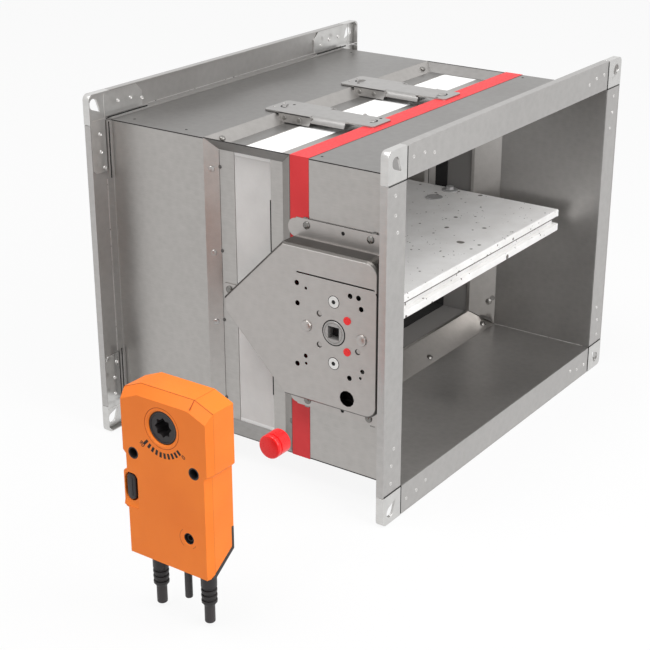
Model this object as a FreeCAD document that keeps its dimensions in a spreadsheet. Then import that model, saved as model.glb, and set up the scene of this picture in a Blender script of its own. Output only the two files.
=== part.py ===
import FreeCAD, Part
import Sketcher
import math
import os

# Rectangular fire damper with a detachable spring-return actuator.
# Origin: centre of the closed blade. +X leaves the front flange, -Y is the
# mechanism side, +Z is up. Lengths are in millimetres.

SIZES = {
    # duct
    "opening_width": 400,
    "opening_height": 300,
    "duct_length": 350,
    "sheet": 1.0,
    # waist between the front and the rear sleeve, which the wall fill grips
    "waist_front": 50.8,
    "waist_rear": 50.5,
    "waist_depth": 9.4,
    "rear_bevel_run": 11.3,
    "rear_bevel_skin": 1.5,
    "rear_head_run": 5.6,
    # ring of fire board and the metal collars that hold it
    "board_half_length": 21.4,
    "board_setback": 0.5,
    "board_inset": 14,
    "lip_inset": 15.5,
    "lip_run": 3.6,
    "seal_bush_gap": 0.6,
    "seal_rear": 26.5,
    "seal_thickness": 0.8,
    "band_width": 20.8,
    "band_thickness": 0.4,
    # duct flanges and their corner cleats
    "flange_width": 30,
    "flange_sheet": 1.2,
    "flange_lip": 8,
    "flange_leg": 9,
    "flange_edge_radius": 1,
    "cleat_gap": 0.4,
    "cleat_leg": 52,
    "cleat_leg_inset": 3,
    "cleat_leg_bevel": 9,
    "cleat_corner_radius": 6,
    "cleat_hole_radius": 5.5,
    "cleat_hole_offset": 18,
    "cleat_hole_reach": 13,
    # blade: three boards, the middle one smaller so that a groove runs round the edge
    "blade_end_gap": 2,
    "blade_side_gap": 2.5,
    "blade_skin": 8.5,
    "blade_core": 8,
    "blade_groove": 5,
    "blade_edge_chamfer": 1,
    "tang_width": 16,
    "tang_length": 54,
    "tang_clearance": 0.2,
    "shaft_radius": 6,
    "shaft_clearance": 0.2,
    "shaft_blade_gap": 0.4,
    "bush_wall": 4,
    "bush_stand": 1,
    "pivot_end_gap": 1,
    "pivot_cap": 2,
    "clamp_outer_setback": 9.5,
    "clamp_inner_setback": 43.5,
    "clamp_disc_radius": 9.5,
    "clamp_disc_thickness": 1.2,
    "clamp_boss_radius": 4.8,
    "clamp_boss_height": 3.6,
    "clamp_bolt_radius": 2.5,
    "bolt_clearance": 0.2,
    # drawn housing of the linkage on the mechanism side
    "housing_depth": 23,
    "housing_sheet": 1.2,
    "housing_tip": 12.8,
    "housing_tip_half_height": 6,
    "housing_half_height": 76,
    "housing_flange_gap": 12,
    "housing_corner_radius": 14,
    "housing_rim_bevel": 2.3,
    "housing_foot_width": 18,
    "housing_foot_rear": 49,
    "housing_foot_round": 9,
    "housing_foot_setback": 9,
    "housing_ear_reach": 36,
    "housing_screw_offset": 12,
    "housing_screw_rear": 70,
    "housing_screw_middle_setback": 52.7,
    "housing_screw_front_setback": 23,
    "housing_ear_screw": 30,
    "slit_height": 50.6,
    "slit_rear": 74,
    "slit_setback": 5,
    "slit_width": 1.4,
    # drive point on the housing
    "drive_setback": 47.8,
    "drive_hub_radius": 11.6,
    "drive_hub_clearance": 0.3,
    "drive_hub_proud": 0.6,
    "drive_hub_length": 11,
    "square_side": 12,
    "square_clearance": 0.15,
    "socket_depth": 9.5,
    "bearing_plate_thickness": 3,
    "bearing_plate_half_width": 17,
    "bearing_plate_half_height": 38,
    "bearing_screw_place": 30.2,
    "bearing_screw_radius": 5.4,
    "bearing_screw_shank": 2.4,
    "bearing_screw_clearance": 0.1,
    "plug_place_along": 14.8,
    "plug_place_up": 15.3,
    "plug_radius": 3.4,
    "plug_head": 0.6,
    "sensor_hole_along": 14.7,
    "sensor_hole_down": 61.9,
    "sensor_hole_radius": 8,
    "fixing_along": 31.5,
    "fixing_down": 30.4,
    "fixing_radius": 2.2,
    "large_hole_radius": 2.6,
    "small_hole_radius": 1.5,
    # linkage inside the housing
    "crank_radius": 8.5,
    "crank_angle": 15,
    "crank_thickness": 3,
    "crank_hub_radius": 8,
    "crank_eye_radius": 4,
    "crank_pin_radius": 2.5,
    "pivot_clearance": 0.3,
    "rod_thickness": 3,
    "rod_half_width": 3.4,
    "link_gap": 0.8,
    "blade_crank_gap": 2,
    # screws
    "screw_head_radius": 4.2,
    "screw_head_height": 2.6,
    "screw_shank_radius": 1.9,
    "screw_shank_clearance": 0.1,
    "screw_shank_length": 3.5,
    # brackets that bridge the waist
    "bracket_place": 66.7,
    "bracket_half_width": 21,
    "bracket_notch": 3,
    "bracket_notch_place": 34,
    "bracket_corner": 2,
    "bracket_sheet": 1.5,
    "bracket_rear": 66,
    "bracket_front": 63,
    "bracket_leg_depth": 9,
    "bracket_leg_front": 10,
    "bracket_lip_depth": 4,
    "bracket_screw_setback": 7,
    # actuator
    "actuator_seat_gap": 1,
    "actuator_travel": 202,
    "actuator_depth": 33,
    "cover_depth": 8,
    "actuator_shift": 1,
    "actuator_half_width": 45.5,
    "actuator_neck": 3,
    "actuator_step_down": 30,
    "actuator_top": 30,
    "actuator_corner_run": 18,
    "actuator_corner_drop": 7.5,
    "actuator_bottom": 124,
    "cover_top_slope": 7.5,
    "cover_side_slope": 2,
    "base_top": 88,
    "base_heel": 106,
    "base_thickness": 2.6,
    "clamp_radius": 14,
    "clamp_clearance": 0.3,
    "clamp_setback": 2,
    "spindle_setback": 15,
    "spindle_reach": 8,
    "mount_bore_radius": 4.5,
    "winding_along": 23.6,
    "winding_down": 91.4,
    "winding_radius": 5,
    "winding_depth": 14,
    "lever_along": 36.5,
    "lever_down": 63,
    "lever_half_width": 4.6,
    "lever_half_height": 12,
    "lever_depth": 7,
    "lever_slot_half_width": 8,
    "lever_slot_up": 13.5,
    "lever_slot_down": 18,
    "lever_gap": 0.3,
    "capsule_radius": 11,
    "capsule_length": 17.5,
    "capsule_travel": 100.2,
    "capsule_seat_gap": 0.3,
    "capsule_bore_radius": 7.5,
    "capsule_bore_depth": 12,
    "capsule_groove_place": 4,
    "capsule_groove_width": 1,
    "capsule_groove_depth": 0.8,
    "capsule_edge": 1.2,
    "capsule_pocket_clearance": 1,
    "gland_spread": 26,
    "gland_radius": 8,
    "gland_bottom": 161,
    "gland_sleeve_radius": 7,
    "gland_sleeve_length": 20,
    "gland_bore_depth": 10,
    "gland_setback": 19,
    "cable_radius": 5.1,
    "cable_clearance": 0.05,
    "cable_bottom": 177.5,
    "signal_cable_shift": 4.8,
    "signal_cable_radius": 3.4,
    "signal_cable_bottom": 162,
}

doc = FreeCAD.newDocument("fire_damper")
dims = doc.addObject("Spreadsheet::Sheet", "dims")


class Size:
    """A length that knows its number and the sheet expression that it comes from."""

    def __init__(self, value, text):
        self.value = value
        self.text = text

    def join(self, sign, other, value):
        return Size(value, f"({self.text} {sign} {as_size(other).text})")

    def __add__(self, other):
        return self.join("+", other, self.value + as_size(other).value)

    def __sub__(self, other):
        return self.join("-", other, self.value - as_size(other).value)

    def __mul__(self, other):
        return self.join("*", other, self.value * as_size(other).value)

    def __truediv__(self, other):
        return self.join("/", other, self.value / as_size(other).value)

    def __radd__(self, other):
        return as_size(other) + self

    def __rsub__(self, other):
        return as_size(other) - self

    def __rmul__(self, other):
        return as_size(other) * self

    def __neg__(self):
        return as_size(0) - self


def as_size(number):
    return number if isinstance(number, Size) else Size(float(number), repr(float(number)))


def root(size):
    return Size(math.sqrt(size.value), f"sqrt({size.text})")


def fill_sheet():
    sizes = {}
    for row, (name, value) in enumerate(SIZES.items(), start=1):
        dims.set(f"A{row}", name)
        dims.set(f"B{row}", str(value))
        dims.setAlias(f"B{row}", name)
        sizes[name] = Size(float(value), f"dims.{name}")
    doc.recompute()
    return sizes


S = fill_sheet()

# Named planes and places that many pieces share.
inner_y = S["opening_width"] / 2
inner_z = S["opening_height"] / 2
outer_y = inner_y + S["sheet"]
outer_z = inner_z + S["sheet"]
end_x = S["duct_length"] / 2
waist_y = outer_y - S["waist_depth"]
waist_z = outer_z - S["waist_depth"]
board_outer_y = waist_y - S["board_setback"]
board_outer_z = waist_z - S["board_setback"]
board_inner_y = inner_y - S["board_inset"]
board_inner_z = inner_z - S["board_inset"]
wall_face = outer_y + S["band_thickness"]
housing_face = outer_y + S["housing_depth"]
housing_inside = housing_face - S["housing_sheet"]
housing_front = end_x - S["housing_flange_gap"]
housing_foot_front = housing_front - S["housing_foot_setback"]
drive_x = housing_front - S["drive_setback"]
blade_half_length = board_inner_z - S["blade_end_gap"]
blade_half_width = board_inner_y - S["blade_side_gap"]
blade_half_thickness = S["blade_skin"] + S["blade_core"] / 2
zero = as_size(0)
RIGHT_ANGLE = 90
DIAGONAL = math.sqrt(0.5)

nodes = []


def node(thing, name):
    """Give a finished piece the name that its file takes."""
    thing.Label = name
    nodes.append(thing)
    return thing


def bind(thing, **sizes):
    for name, size in sizes.items():
        thing.setExpression(name, as_size(size).text)
    return thing


def place(thing, x, y, z):
    """Tie the origin of a primitive to three sizes; its turn stays as it is."""
    for axis, size in zip("xyz", (x, y, z)):
        thing.setExpression(f"Placement.Base.{axis}", as_size(size).text)
    return thing


def box(name, x, y, z):
    """A block between the two ends given for each axis."""
    block = doc.addObject("Part::Box", name)
    bind(block, Length=x[1] - x[0], Width=y[1] - y[0], Height=z[1] - z[0])
    return place(block, x[0], y[0], z[0])


AXIS_TURNS = {
    "x": FreeCAD.Rotation(FreeCAD.Vector(0, 1, 0), RIGHT_ANGLE),
    "y": FreeCAD.Rotation(FreeCAD.Vector(1, 0, 0), -RIGHT_ANGLE),
    "z": FreeCAD.Rotation(),
}


def cylinder(name, axis, start, length, radius):
    """A round bar that leaves start along +axis."""
    bar = doc.addObject("Part::Cylinder", name)
    bar.Placement = FreeCAD.Placement(FreeCAD.Vector(), AXIS_TURNS[axis])
    bind(bar, Radius=radius, Height=length)
    return place(bar, *start)


def many_sided(name, axis, start, length, radius, sides=12):
    """A prism that leaves start along +axis; it stands for shanks and small drilled holes."""
    bar = doc.addObject("Part::Prism", name)
    bar.Polygon = sides
    bar.Placement = FreeCAD.Placement(FreeCAD.Vector(), AXIS_TURNS[axis])
    bind(bar, Circumradius=radius, Height=length)
    return place(bar, *start)


def ring_points(u, v, radius, turns):
    """Sketch points at radius round (u, v), one for each turn in degrees."""
    return [(u + radius * math.cos(math.radians(turn)), v + radius * math.sin(math.radians(turn)))
            for turn in turns]


def frustum(name, x, half_y, half_z):
    """A rectangular frustum along X; each argument gives its low-x and high-x end."""
    wedge = doc.addObject("Part::Wedge", name)
    turn = FreeCAD.Rotation(FreeCAD.Vector(0, 0, 1), -RIGHT_ANGLE)
    wedge.Placement = FreeCAD.Placement(FreeCAD.Vector(), turn)
    bind(wedge, Ymin=zero, Ymax=x[1] - x[0])
    bind(wedge, Xmin=-half_y[0], Xmax=half_y[0], Zmin=-half_z[0], Zmax=half_z[0])
    bind(wedge, X2min=-half_y[1], X2max=half_y[1], Z2min=-half_z[1], Z2max=half_z[1])
    return place(wedge, x[0], zero, zero)


def cut(name, base, *tools):
    result = doc.addObject("Part::Cut", name)
    result.Base = base
    result.Tool = tools[0] if len(tools) == 1 else fuse(name + "_tools", *tools)
    return result


def fuse(name, *pieces):
    result = doc.addObject("Part::MultiFuse", name)
    result.Shapes = list(pieces)
    result.Refine = True
    return result


def common(name, first, second):
    result = doc.addObject("Part::Common", name)
    result.Base = first
    result.Tool = second
    return result


def group(name, pieces):
    """Identical or like pieces that share one node as separate solids."""
    result = doc.addObject("Part::Compound", name)
    result.Links = list(pieces)
    return result


def mirror(name, source, normal):
    result = doc.addObject("Part::Mirroring", name)
    result.Source = source
    result.Normal = FreeCAD.Vector(*normal)
    return result


def new_sketch(body, name, plane, offset=None):
    """A sketch on one of the body's own origin planes, moved along its normal by offset."""
    sketch = body.newObject("Sketcher::SketchObject", name)
    support = next(f for f in body.Origin.OriginFeatures if f.Role == plane)
    sketch.AttachmentSupport = (support, [""])
    sketch.MapMode = "FlatFace"
    if offset is not None:
        sketch.setExpression("AttachmentOffset.Base.z", as_size(offset).text)
    return sketch


ORIGIN_POINT = (-1, 1)


def pin_point(sketch, geometry, end, u, v):
    """Hold one end of a sketch line, or a circle's centre, at (u, v) from the origin."""
    for kind, size in (("DistanceX", u), ("DistanceY", v)):
        index = sketch.addConstraint(
            Sketcher.Constraint(kind, *ORIGIN_POINT, geometry, end, as_size(size).value))
        sketch.setExpression(f"Constraints[{index}]", as_size(size).text)


def draw_polygon(sketch, points):
    """A closed outline whose corners are all tied to sizes."""
    corners = [(as_size(u), as_size(v)) for u, v in points]
    vectors = [FreeCAD.Vector(u.value, v.value, 0) for u, v in corners]
    lines = []
    for start, end in zip(vectors, vectors[1:] + vectors[:1]):
        lines.append(sketch.addGeometry(Part.LineSegment(start, end), False))
    for first, second in zip(lines, lines[1:] + lines[:1]):
        sketch.addConstraint(Sketcher.Constraint("Coincident", first, 2, second, 1))
    for line, (u, v) in zip(lines, corners):
        pin_point(sketch, line, 1, u, v)


def draw_circle(sketch, u, v, radius):
    u, v, radius = as_size(u), as_size(v), as_size(radius)
    centre = FreeCAD.Vector(u.value, v.value, 0)
    ring = sketch.addGeometry(
        Part.Circle(centre, FreeCAD.Vector(0, 0, 1), radius.value), False)
    pin_point(sketch, ring, 3, u, v)
    index = sketch.addConstraint(Sketcher.Constraint("Radius", ring, radius.value))
    sketch.setExpression(f"Constraints[{index}]", radius.text)


def new_body(name):
    return doc.addObject("PartDesign::Body", name)


def pad(body, sketch, length, both_ways=False, backwards=False):
    feature = body.newObject("PartDesign::Pad", sketch.Name + "_pad")
    feature.Profile = sketch
    feature.Midplane = both_ways
    feature.Reversed = backwards
    bind(feature, Length=length)
    sketch.Visibility = False
    doc.recompute()
    return feature


def pocket(body, sketch, length, backwards=False):
    """Remove the sketch's area; a pocket that removes nothing is refused."""
    before = body.Shape.Volume
    feature = body.newObject("PartDesign::Pocket", sketch.Name + "_pocket")
    feature.Profile = sketch
    feature.Reversed = backwards
    bind(feature, Length=length)
    sketch.Visibility = False
    doc.recompute()
    if not body.Shape.Volume < before:
        raise ValueError(f"{sketch.Name} removes nothing")
    return feature


def ease_edges(body, name, size, wanted, kind="Fillet"):
    """Fillet, or chamfer, the edges of the body's last feature that the test picks."""
    last = body.Tip
    names = []
    for number, edge in enumerate(last.Shape.Edges, start=1):
        if wanted(edge):
            names.append(f"Edge{number}")
    feature = body.newObject(f"PartDesign::{kind}", name)
    feature.Base = (last, names)
    if kind == "Fillet":
        bind(feature, Radius=size)
    else:
        bind(feature, Size=size)
    doc.recompute()
    return feature


def runs_along(edge, direction):
    """True for a straight edge parallel to the given axis vector."""
    ends = [vertex.Point for vertex in edge.Vertexes]
    if len(ends) != 2 or edge.Curve.TypeId != "Part::GeomLine":
        return False
    line = (ends[1] - ends[0]).normalize()
    return abs(abs(line.dot(FreeCAD.Vector(*direction))) - 1) < 1e-6


def lies_at(edge, axis, size):
    """True when every vertex of the edge has this coordinate."""
    return all(abs(getattr(v.Point, axis) - size.value) < 1e-4 for v in edge.Vertexes)


# Duct: two sleeves of folded sheet, one panel to a side.

def sleeve(end, x):
    top = box(f"{end}_top", x, (-outer_y, outer_y), (inner_z, outer_z))
    bottom = box(f"{end}_bottom", x, (-outer_y, outer_y), (-outer_z, -inner_z))
    near = box(f"{end}_near", x, (-outer_y, -inner_y), (-inner_z, inner_z))
    far = box(f"{end}_far", x, (inner_y, outer_y), (-inner_z, inner_z))
    if end == "front":
        holes = [screw_hole(f"sleeve_hole_{n}", x0, z0, inner_y, wall_face)
                 for n, (x0, z0) in enumerate(housing_screw_places())]
        near = cut("front_near_drilled", near, *holes)
    node(top, f"{end}_sleeve_top")
    node(bottom, f"{end}_sleeve_bottom")
    node(near, f"{end}_sleeve_mechanism_side")
    node(far, f"{end}_sleeve_far_side")


def housing_screw_places():
    height = S["housing_half_height"] + S["housing_screw_offset"]
    rows = (S["housing_screw_rear"], housing_front - S["housing_screw_middle_setback"],
            housing_front - S["housing_screw_front_setback"])
    return [(x, side * height) for side in (1, -1) for x in rows]


def screw_hole(name, x, z, y_inner, y_outer):
    """A clearance hole for a screw shank on the mechanism side."""
    radius = S["screw_shank_radius"] + S["screw_shank_clearance"]
    start = -y_outer - S["sheet"]
    return many_sided(name, "y", (x, start, z), y_outer - y_inner + 2 * S["sheet"], radius)


# Collars: the folded frames between the sleeves and the ring of fire board.

def front_collar():
    bevel_run = S["waist_depth"] * (S["waist_front"] - S["board_half_length"] - S["lip_run"])
    bevel_end = S["waist_front"] - bevel_run / S["lip_inset"]
    lip_x = S["board_half_length"] + S["lip_run"]
    board_x = S["board_half_length"]
    outer = fuse(
        "front_collar_outer",
        frustum("front_bevel", (bevel_end, S["waist_front"]), (waist_y, outer_y), (waist_z, outer_z)),
        box("front_strip", (board_x, bevel_end), (-waist_y, waist_y), (-waist_z, waist_z)))
    lip_y = inner_y - S["lip_inset"]
    lip_z = inner_z - S["lip_inset"]
    inner = fuse(
        "front_collar_inner",
        frustum("front_ramp", (lip_x, S["waist_front"]), (lip_y, inner_y), (lip_z, inner_z)),
        box("front_mouth", (board_x - S["lip_run"], lip_x), (-lip_y, lip_y), (-lip_z, lip_z)))
    return node(cut("front_collar_ring", outer, inner), "front_collar")


def rear_collar():
    bevel_end = S["waist_rear"] - S["rear_bevel_run"]
    skin_end = bevel_end - S["rear_bevel_skin"]
    skin_y = waist_y - S["sheet"] * 1.1
    skin_z = waist_z - S["sheet"] * 1.1
    head_x = S["board_half_length"] + S["rear_head_run"]
    board_x = S["board_half_length"]
    outer = fuse(
        "rear_collar_outer",
        frustum("rear_bevel", (-S["waist_rear"], -bevel_end), (outer_y, waist_y), (outer_z, waist_z)),
        box("rear_strip", (-bevel_end, -board_x), (-waist_y, waist_y), (-waist_z, waist_z)))
    inner = fuse(
        "rear_collar_inner",
        frustum("rear_bevel_inside", (-S["waist_rear"], -skin_end), (inner_y, skin_y), (inner_z, skin_z)),
        frustum("rear_ramp", (-skin_end, -head_x), (skin_y, board_inner_y), (skin_z, board_inner_z)),
        box("rear_mouth", (-head_x, -board_x + S["sheet"]),
            (-board_inner_y, board_inner_y), (-board_inner_z, board_inner_z)))
    return node(cut("rear_collar_ring", outer, inner), "rear_collar")


def fire_boards():
    x = (-S["board_half_length"], S["board_half_length"])
    bore = S["shaft_radius"] + S["shaft_clearance"] + S["bush_wall"]
    for side, sign in (("top", 1), ("bottom", -1)):
        z = (board_inner_z, board_outer_z) if sign > 0 else (-board_outer_z, -board_inner_z)
        node(box(f"board_{side}", x, (-board_outer_y, board_outer_y), z), f"fire_board_{side}")
    for side, sign in (("mechanism_side", -1), ("far_side", 1)):
        y = (board_inner_y, board_outer_y) if sign > 0 else (-board_outer_y, -board_inner_y)
        slab = box(f"board_{side}", x, y, (-board_inner_z, board_inner_z))
        start = y[0] - S["sheet"]
        hole = cylinder(f"board_bore_{side}", "y", (zero, start, zero),
                        y[1] - y[0] + 2 * S["sheet"], bore)
        node(cut(f"board_{side}_bored", slab, hole), f"fire_board_{side}")


def seal_strip():
    bush_wall = S["shaft_radius"] + S["shaft_clearance"] + S["bush_wall"]
    x = (-S["seal_rear"], -bush_wall - S["seal_bush_gap"])
    inner_half_y = board_inner_y - S["seal_thickness"]
    inner_half_z = board_inner_z - S["seal_thickness"]
    outer = box("seal_outer", x, (-board_inner_y, board_inner_y), (-board_inner_z, board_inner_z))
    through = (x[0] - S["sheet"], x[1] + S["sheet"])
    inner = box("seal_inner", through, (-inner_half_y, inner_half_y), (-inner_half_z, inner_half_z))
    return node(cut("seal_ring", outer, inner), "seal_strip")


def marking_band():
    x = (S["waist_front"], S["waist_front"] + S["band_width"])
    out_y = outer_y + S["band_thickness"]
    out_z = outer_z + S["band_thickness"]
    through = (x[0] - S["sheet"], x[1] + S["sheet"])
    outer = box("band_outer", x, (-out_y, out_y), (-out_z, out_z))
    inner = box("band_inner", through, (-outer_y, outer_y), (-outer_z, outer_z))
    holes = [screw_hole(f"band_hole_{n}", x0, z0, outer_y, wall_face)
             for n, (x0, z0) in enumerate(housing_screw_places())]
    return node(cut("band_ring", outer, inner, *holes), "marking_band")


# Flanges: a folded profile along each side of the opening and a cleat in each corner.

def flange_section(end, side, base):
    """Outline of the profile: face, outer lip bent back, leg along the sleeve."""
    face = end * end_x
    back = end * (end_x - S["flange_sheet"])
    lip_end = end * (end_x - S["flange_lip"])
    leg_end = end * (end_x - S["flange_leg"])
    tip = base + S["flange_width"]
    tip_inside = tip - S["flange_sheet"]
    leg_inside = base + S["sheet"]
    leg_outside = leg_inside + S["flange_sheet"]
    rows = [(face, base), (face, tip), (lip_end, tip), (lip_end, tip_inside),
            (back, tip_inside), (back, leg_outside), (leg_end, leg_outside),
            (leg_end, leg_inside), (back, leg_inside), (back, base)]
    return [(x, side * across) for x, across in rows]


def flange_strip(name, end, side, upright):
    """One profile; upright ones stand on the duct's sides, the others lie on top and bottom."""
    base = inner_y if upright else inner_z
    length = 2 * ((inner_z if upright else inner_y) - S["cleat_gap"])
    body = new_body(name + "_body")
    sketch = new_sketch(body, name + "_section", "XY_Plane" if upright else "XZ_Plane")
    draw_polygon(sketch, flange_section(end, side, base))
    pad(body, sketch, length, both_ways=True)
    axis = (0, 0, 1) if upright else (0, 1, 0)
    across = "y" if upright else "z"
    face = end * end_x
    tip = side * (base + S["flange_width"])
    ease_edges(body, name + "_fold", S["flange_edge_radius"],
                lambda e: runs_along(e, axis) and lies_at(e, "x", face) and lies_at(e, across, tip))
    return node(body, name)


def corner_cleat():
    """The cleat of the corner where front, far side and top meet."""
    outer_u = inner_y + S["flange_width"]
    outer_v = inner_z + S["flange_width"]
    body = new_body("cleat_body")
    cap = new_sketch(body, "cleat_cap", "YZ_Plane", end_x)
    low_u = inner_y
    low_v = inner_z
    draw_polygon(cap, [(low_u, low_v), (outer_u, low_v), (outer_u, outer_v), (low_u, outer_v)])
    pad(body, cap, S["flange_lip"], backwards=True)
    ease_edges(body, "cleat_corner", S["cleat_corner_radius"],
                lambda e: runs_along(e, (1, 0, 0)) and lies_at(e, "y", outer_u)
                and lies_at(e, "z", outer_v))
    hollow = new_sketch(body, "cleat_hollow", "YZ_Plane", end_x - S["flange_lip"])
    wall = S["flange_sheet"]
    cut_corner = S["cleat_corner_radius"] - wall
    in_u = outer_u - wall
    in_v = outer_v - wall
    draw_polygon(hollow, [(low_u - 1, low_v - 1), (in_u, low_v - 1), (in_u, in_v - cut_corner),
                          (in_u - cut_corner, in_v), (low_u - 1, in_v)])
    pocket(body, hollow, S["flange_lip"] - wall, backwards=True)
    legs = new_sketch(body, "cleat_legs", "YZ_Plane", end_x - S["flange_sheet"])
    near = S["cleat_leg_inset"]
    far = S["flange_width"] - S["cleat_leg_inset"] + wall / 2
    leg = S["cleat_leg"]
    bevel = S["cleat_leg_bevel"]
    draw_polygon(legs, [
        (low_u - leg, low_v + near), (low_u + near, low_v + near), (low_u + near, low_v - leg),
        (low_u + far - bevel, low_v - leg), (low_u + far, low_v - leg + bevel),
        (low_u + far, low_v + far - cut_corner), (low_u + far - cut_corner, low_v + far),
        (low_u - leg + bevel, low_v + far), (low_u - leg, low_v + far - bevel)])
    pad(body, legs, wall, backwards=True)
    eye = new_sketch(body, "cleat_eye", "YZ_Plane", end_x - S["flange_lip"])
    radius = S["cleat_hole_radius"]
    reach = S["cleat_hole_reach"]
    tangent = root(reach * reach - radius * radius)
    along = radius * radius / reach * DIAGONAL
    across = radius * tangent / reach * DIAGONAL
    centre_u = low_u + S["cleat_hole_offset"]
    centre_v = low_v + S["cleat_hole_offset"]
    tip = (centre_u - reach * DIAGONAL, centre_v - reach * DIAGONAL)
    first = (centre_u - along + across, centre_v - along - across)
    last = (centre_u - along - across, centre_v - along + across)
    round_end = ring_points(centre_u, centre_v, radius, range(-45, 136, 30))
    draw_polygon(eye, [tip, first, *round_end, last])
    pocket(body, eye, S["flange_lip"], backwards=True)
    return body


def corner_cleats():
    first = corner_cleat()
    near = mirror("cleat_near", first, (0, 1, 0))
    low = mirror("cleat_low", first, (0, 0, 1))
    near_low = mirror("cleat_near_low", near, (0, 0, 1))
    front = group("front_cleats", (first, near, low, near_low))
    node(front, "front_corner_cleats")
    node(mirror("rear_cleats", front, (1, 0, 0)), "rear_corner_cleats")


def flanges():
    for end_name, end in (("front", 1), ("rear", -1)):
        flange_strip(f"{end_name}_flange_top", end, 1, upright=False)
        flange_strip(f"{end_name}_flange_bottom", end, -1, upright=False)
        flange_strip(f"{end_name}_flange_mechanism_side", end, -1, upright=True)
        flange_strip(f"{end_name}_flange_far_side", end, 1, upright=True)


# Brackets that tie the two sleeves together across the waist.

def bridging_bracket(name, side, y_sign):
    """A plate over the waist with legs folded down beside the fire board and lips in front."""
    face = outer_z + S["band_thickness"]
    sheet = S["bracket_sheet"]
    body = new_body(name + "_body")
    plan = new_sketch(body, name + "_plan", "XY_Plane", side * face)
    half = S["bracket_half_width"]
    notch = half - S["bracket_notch"]
    rear = -S["bracket_rear"]
    front = S["bracket_front"]
    y = y_sign * S["bracket_place"]
    notch_x = S["bracket_notch_place"]
    corner = S["bracket_corner"]
    upper = [(rear, half - corner), (rear + corner, half), (notch_x, half),
             (notch_x + corner, notch), (front - corner, notch), (front, notch - corner)]
    lower = [(x, -w) for x, w in reversed(upper)]
    draw_polygon(plan, [(x, y + w) for x, w in upper + lower])
    pad(body, plan, sheet, backwards=side < 0)
    foot_rear = -(S["waist_rear"] - S["rear_bevel_run"])
    leg_rear = foot_rear - S["rear_bevel_run"] * (2 / 3)
    leg_front = -S["bracket_leg_front"]
    low = face - S["bracket_leg_depth"]
    middle = face - S["bracket_leg_depth"] / 3
    for number, sign in enumerate((1, -1)):
        out = y + sign * half
        start = out - sheet if sign > 0 else out
        leg = new_sketch(body, f"{name}_leg_{number}", "XZ_Plane", -start)
        draw_polygon(leg, [(x, side * z) for x, z in (
            (leg_rear, face), (leg_rear, middle), (foot_rear + 1, low), (leg_front, low),
            (leg_front, face))])
        pad(body, leg, sheet, backwards=True)
        lip = new_sketch(body, f"{name}_lip_{number}", "XZ_Plane", -start)
        lip_low = face - S["bracket_lip_depth"]
        draw_polygon(lip, [(x, side * z) for x, z in (
            (zero, face), (zero, lip_low), (notch_x, lip_low), (notch_x, face))])
        pad(body, lip, sheet, backwards=True)
    holes = new_sketch(body, name + "_holes", "XY_Plane", side * face)
    hole_radius = S["screw_shank_radius"] + S["screw_shank_clearance"]
    for x in bracket_screw_places():
        draw_polygon(holes, ring_points(x, y, hole_radius, range(0, 360, 30)))
    pocket(body, holes, sheet, backwards=side > 0)
    return node(body, name)


def bracket_screw_places():
    return (-S["bracket_rear"] + S["bracket_screw_setback"],
            S["bracket_front"] - S["bracket_screw_setback"])


def bracket_screws():
    """Screws through the bracket ends; their shanks stay in the bracket sheet."""
    screws = []
    face = outer_z + S["band_thickness"]
    for side in (1, -1):
        for y_sign in (1, -1):
            for x in bracket_screw_places():
                screws.append(screw(
                    f"bracket_screw_{len(screws)}", "z", side,
                    (x, y_sign * S["bracket_place"], side * (face + S["bracket_sheet"])),
                    S["bracket_sheet"]))
    return node(group("bracket_screw_group", screws), "bracket_screws")


def screw(name, axis, side, seat, shank_length):
    """A hexagon head on its seat towards side, with a plain shank the other way."""
    head_at = dict(zip("xyz", seat))
    shank_at = dict(head_at)
    height = S["screw_head_height"]
    if side > 0:
        shank_at[axis] = shank_at[axis] - shank_length
    else:
        head_at[axis] = head_at[axis] - height
    head = many_sided(name + "_head", axis, head_at.values(), height, S["screw_head_radius"],
                      sides=6)
    shank = many_sided(name + "_shank", axis, shank_at.values(), shank_length,
                       S["screw_shank_radius"])
    return fuse(name, head, shank)


# Housing of the linkage: a drawn sheet pan on the mechanism side.

def housing_outline(inset):
    """Pointed at the blade shaft, full height round the drive point."""
    tip = -S["housing_tip"] + inset
    front = housing_front - inset
    half = S["housing_half_height"] - inset
    tip_half = S["housing_tip_half_height"] - inset * (math.sqrt(2) - 1)
    shoulder = tip + half - tip_half
    return [(tip, -tip_half), (shoulder, -half), (front, -half),
            (front, half), (shoulder, half), (tip, tip_half)]


def housing_form(name, inset, y_inner, y_outer, rim):
    """The pan's volume; inset draws the outline in by that much, rim bevels the face's edge."""
    body = new_body(name)
    sketch = new_sketch(body, name + "_outline", "XZ_Plane", y_inner)
    draw_polygon(sketch, housing_outline(inset))
    pad(body, sketch, y_outer - y_inner)
    corner_x = housing_front - inset
    ease_edges(body, name + "_corners", S["housing_corner_radius"] - inset,
                lambda e: runs_along(e, (0, 1, 0)) and lies_at(e, "x", corner_x))
    if rim is not None:
        ease_edges(body, name + "_rim", rim, lambda e: lies_at(e, "y", -y_outer), "Chamfer")
    return body


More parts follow.
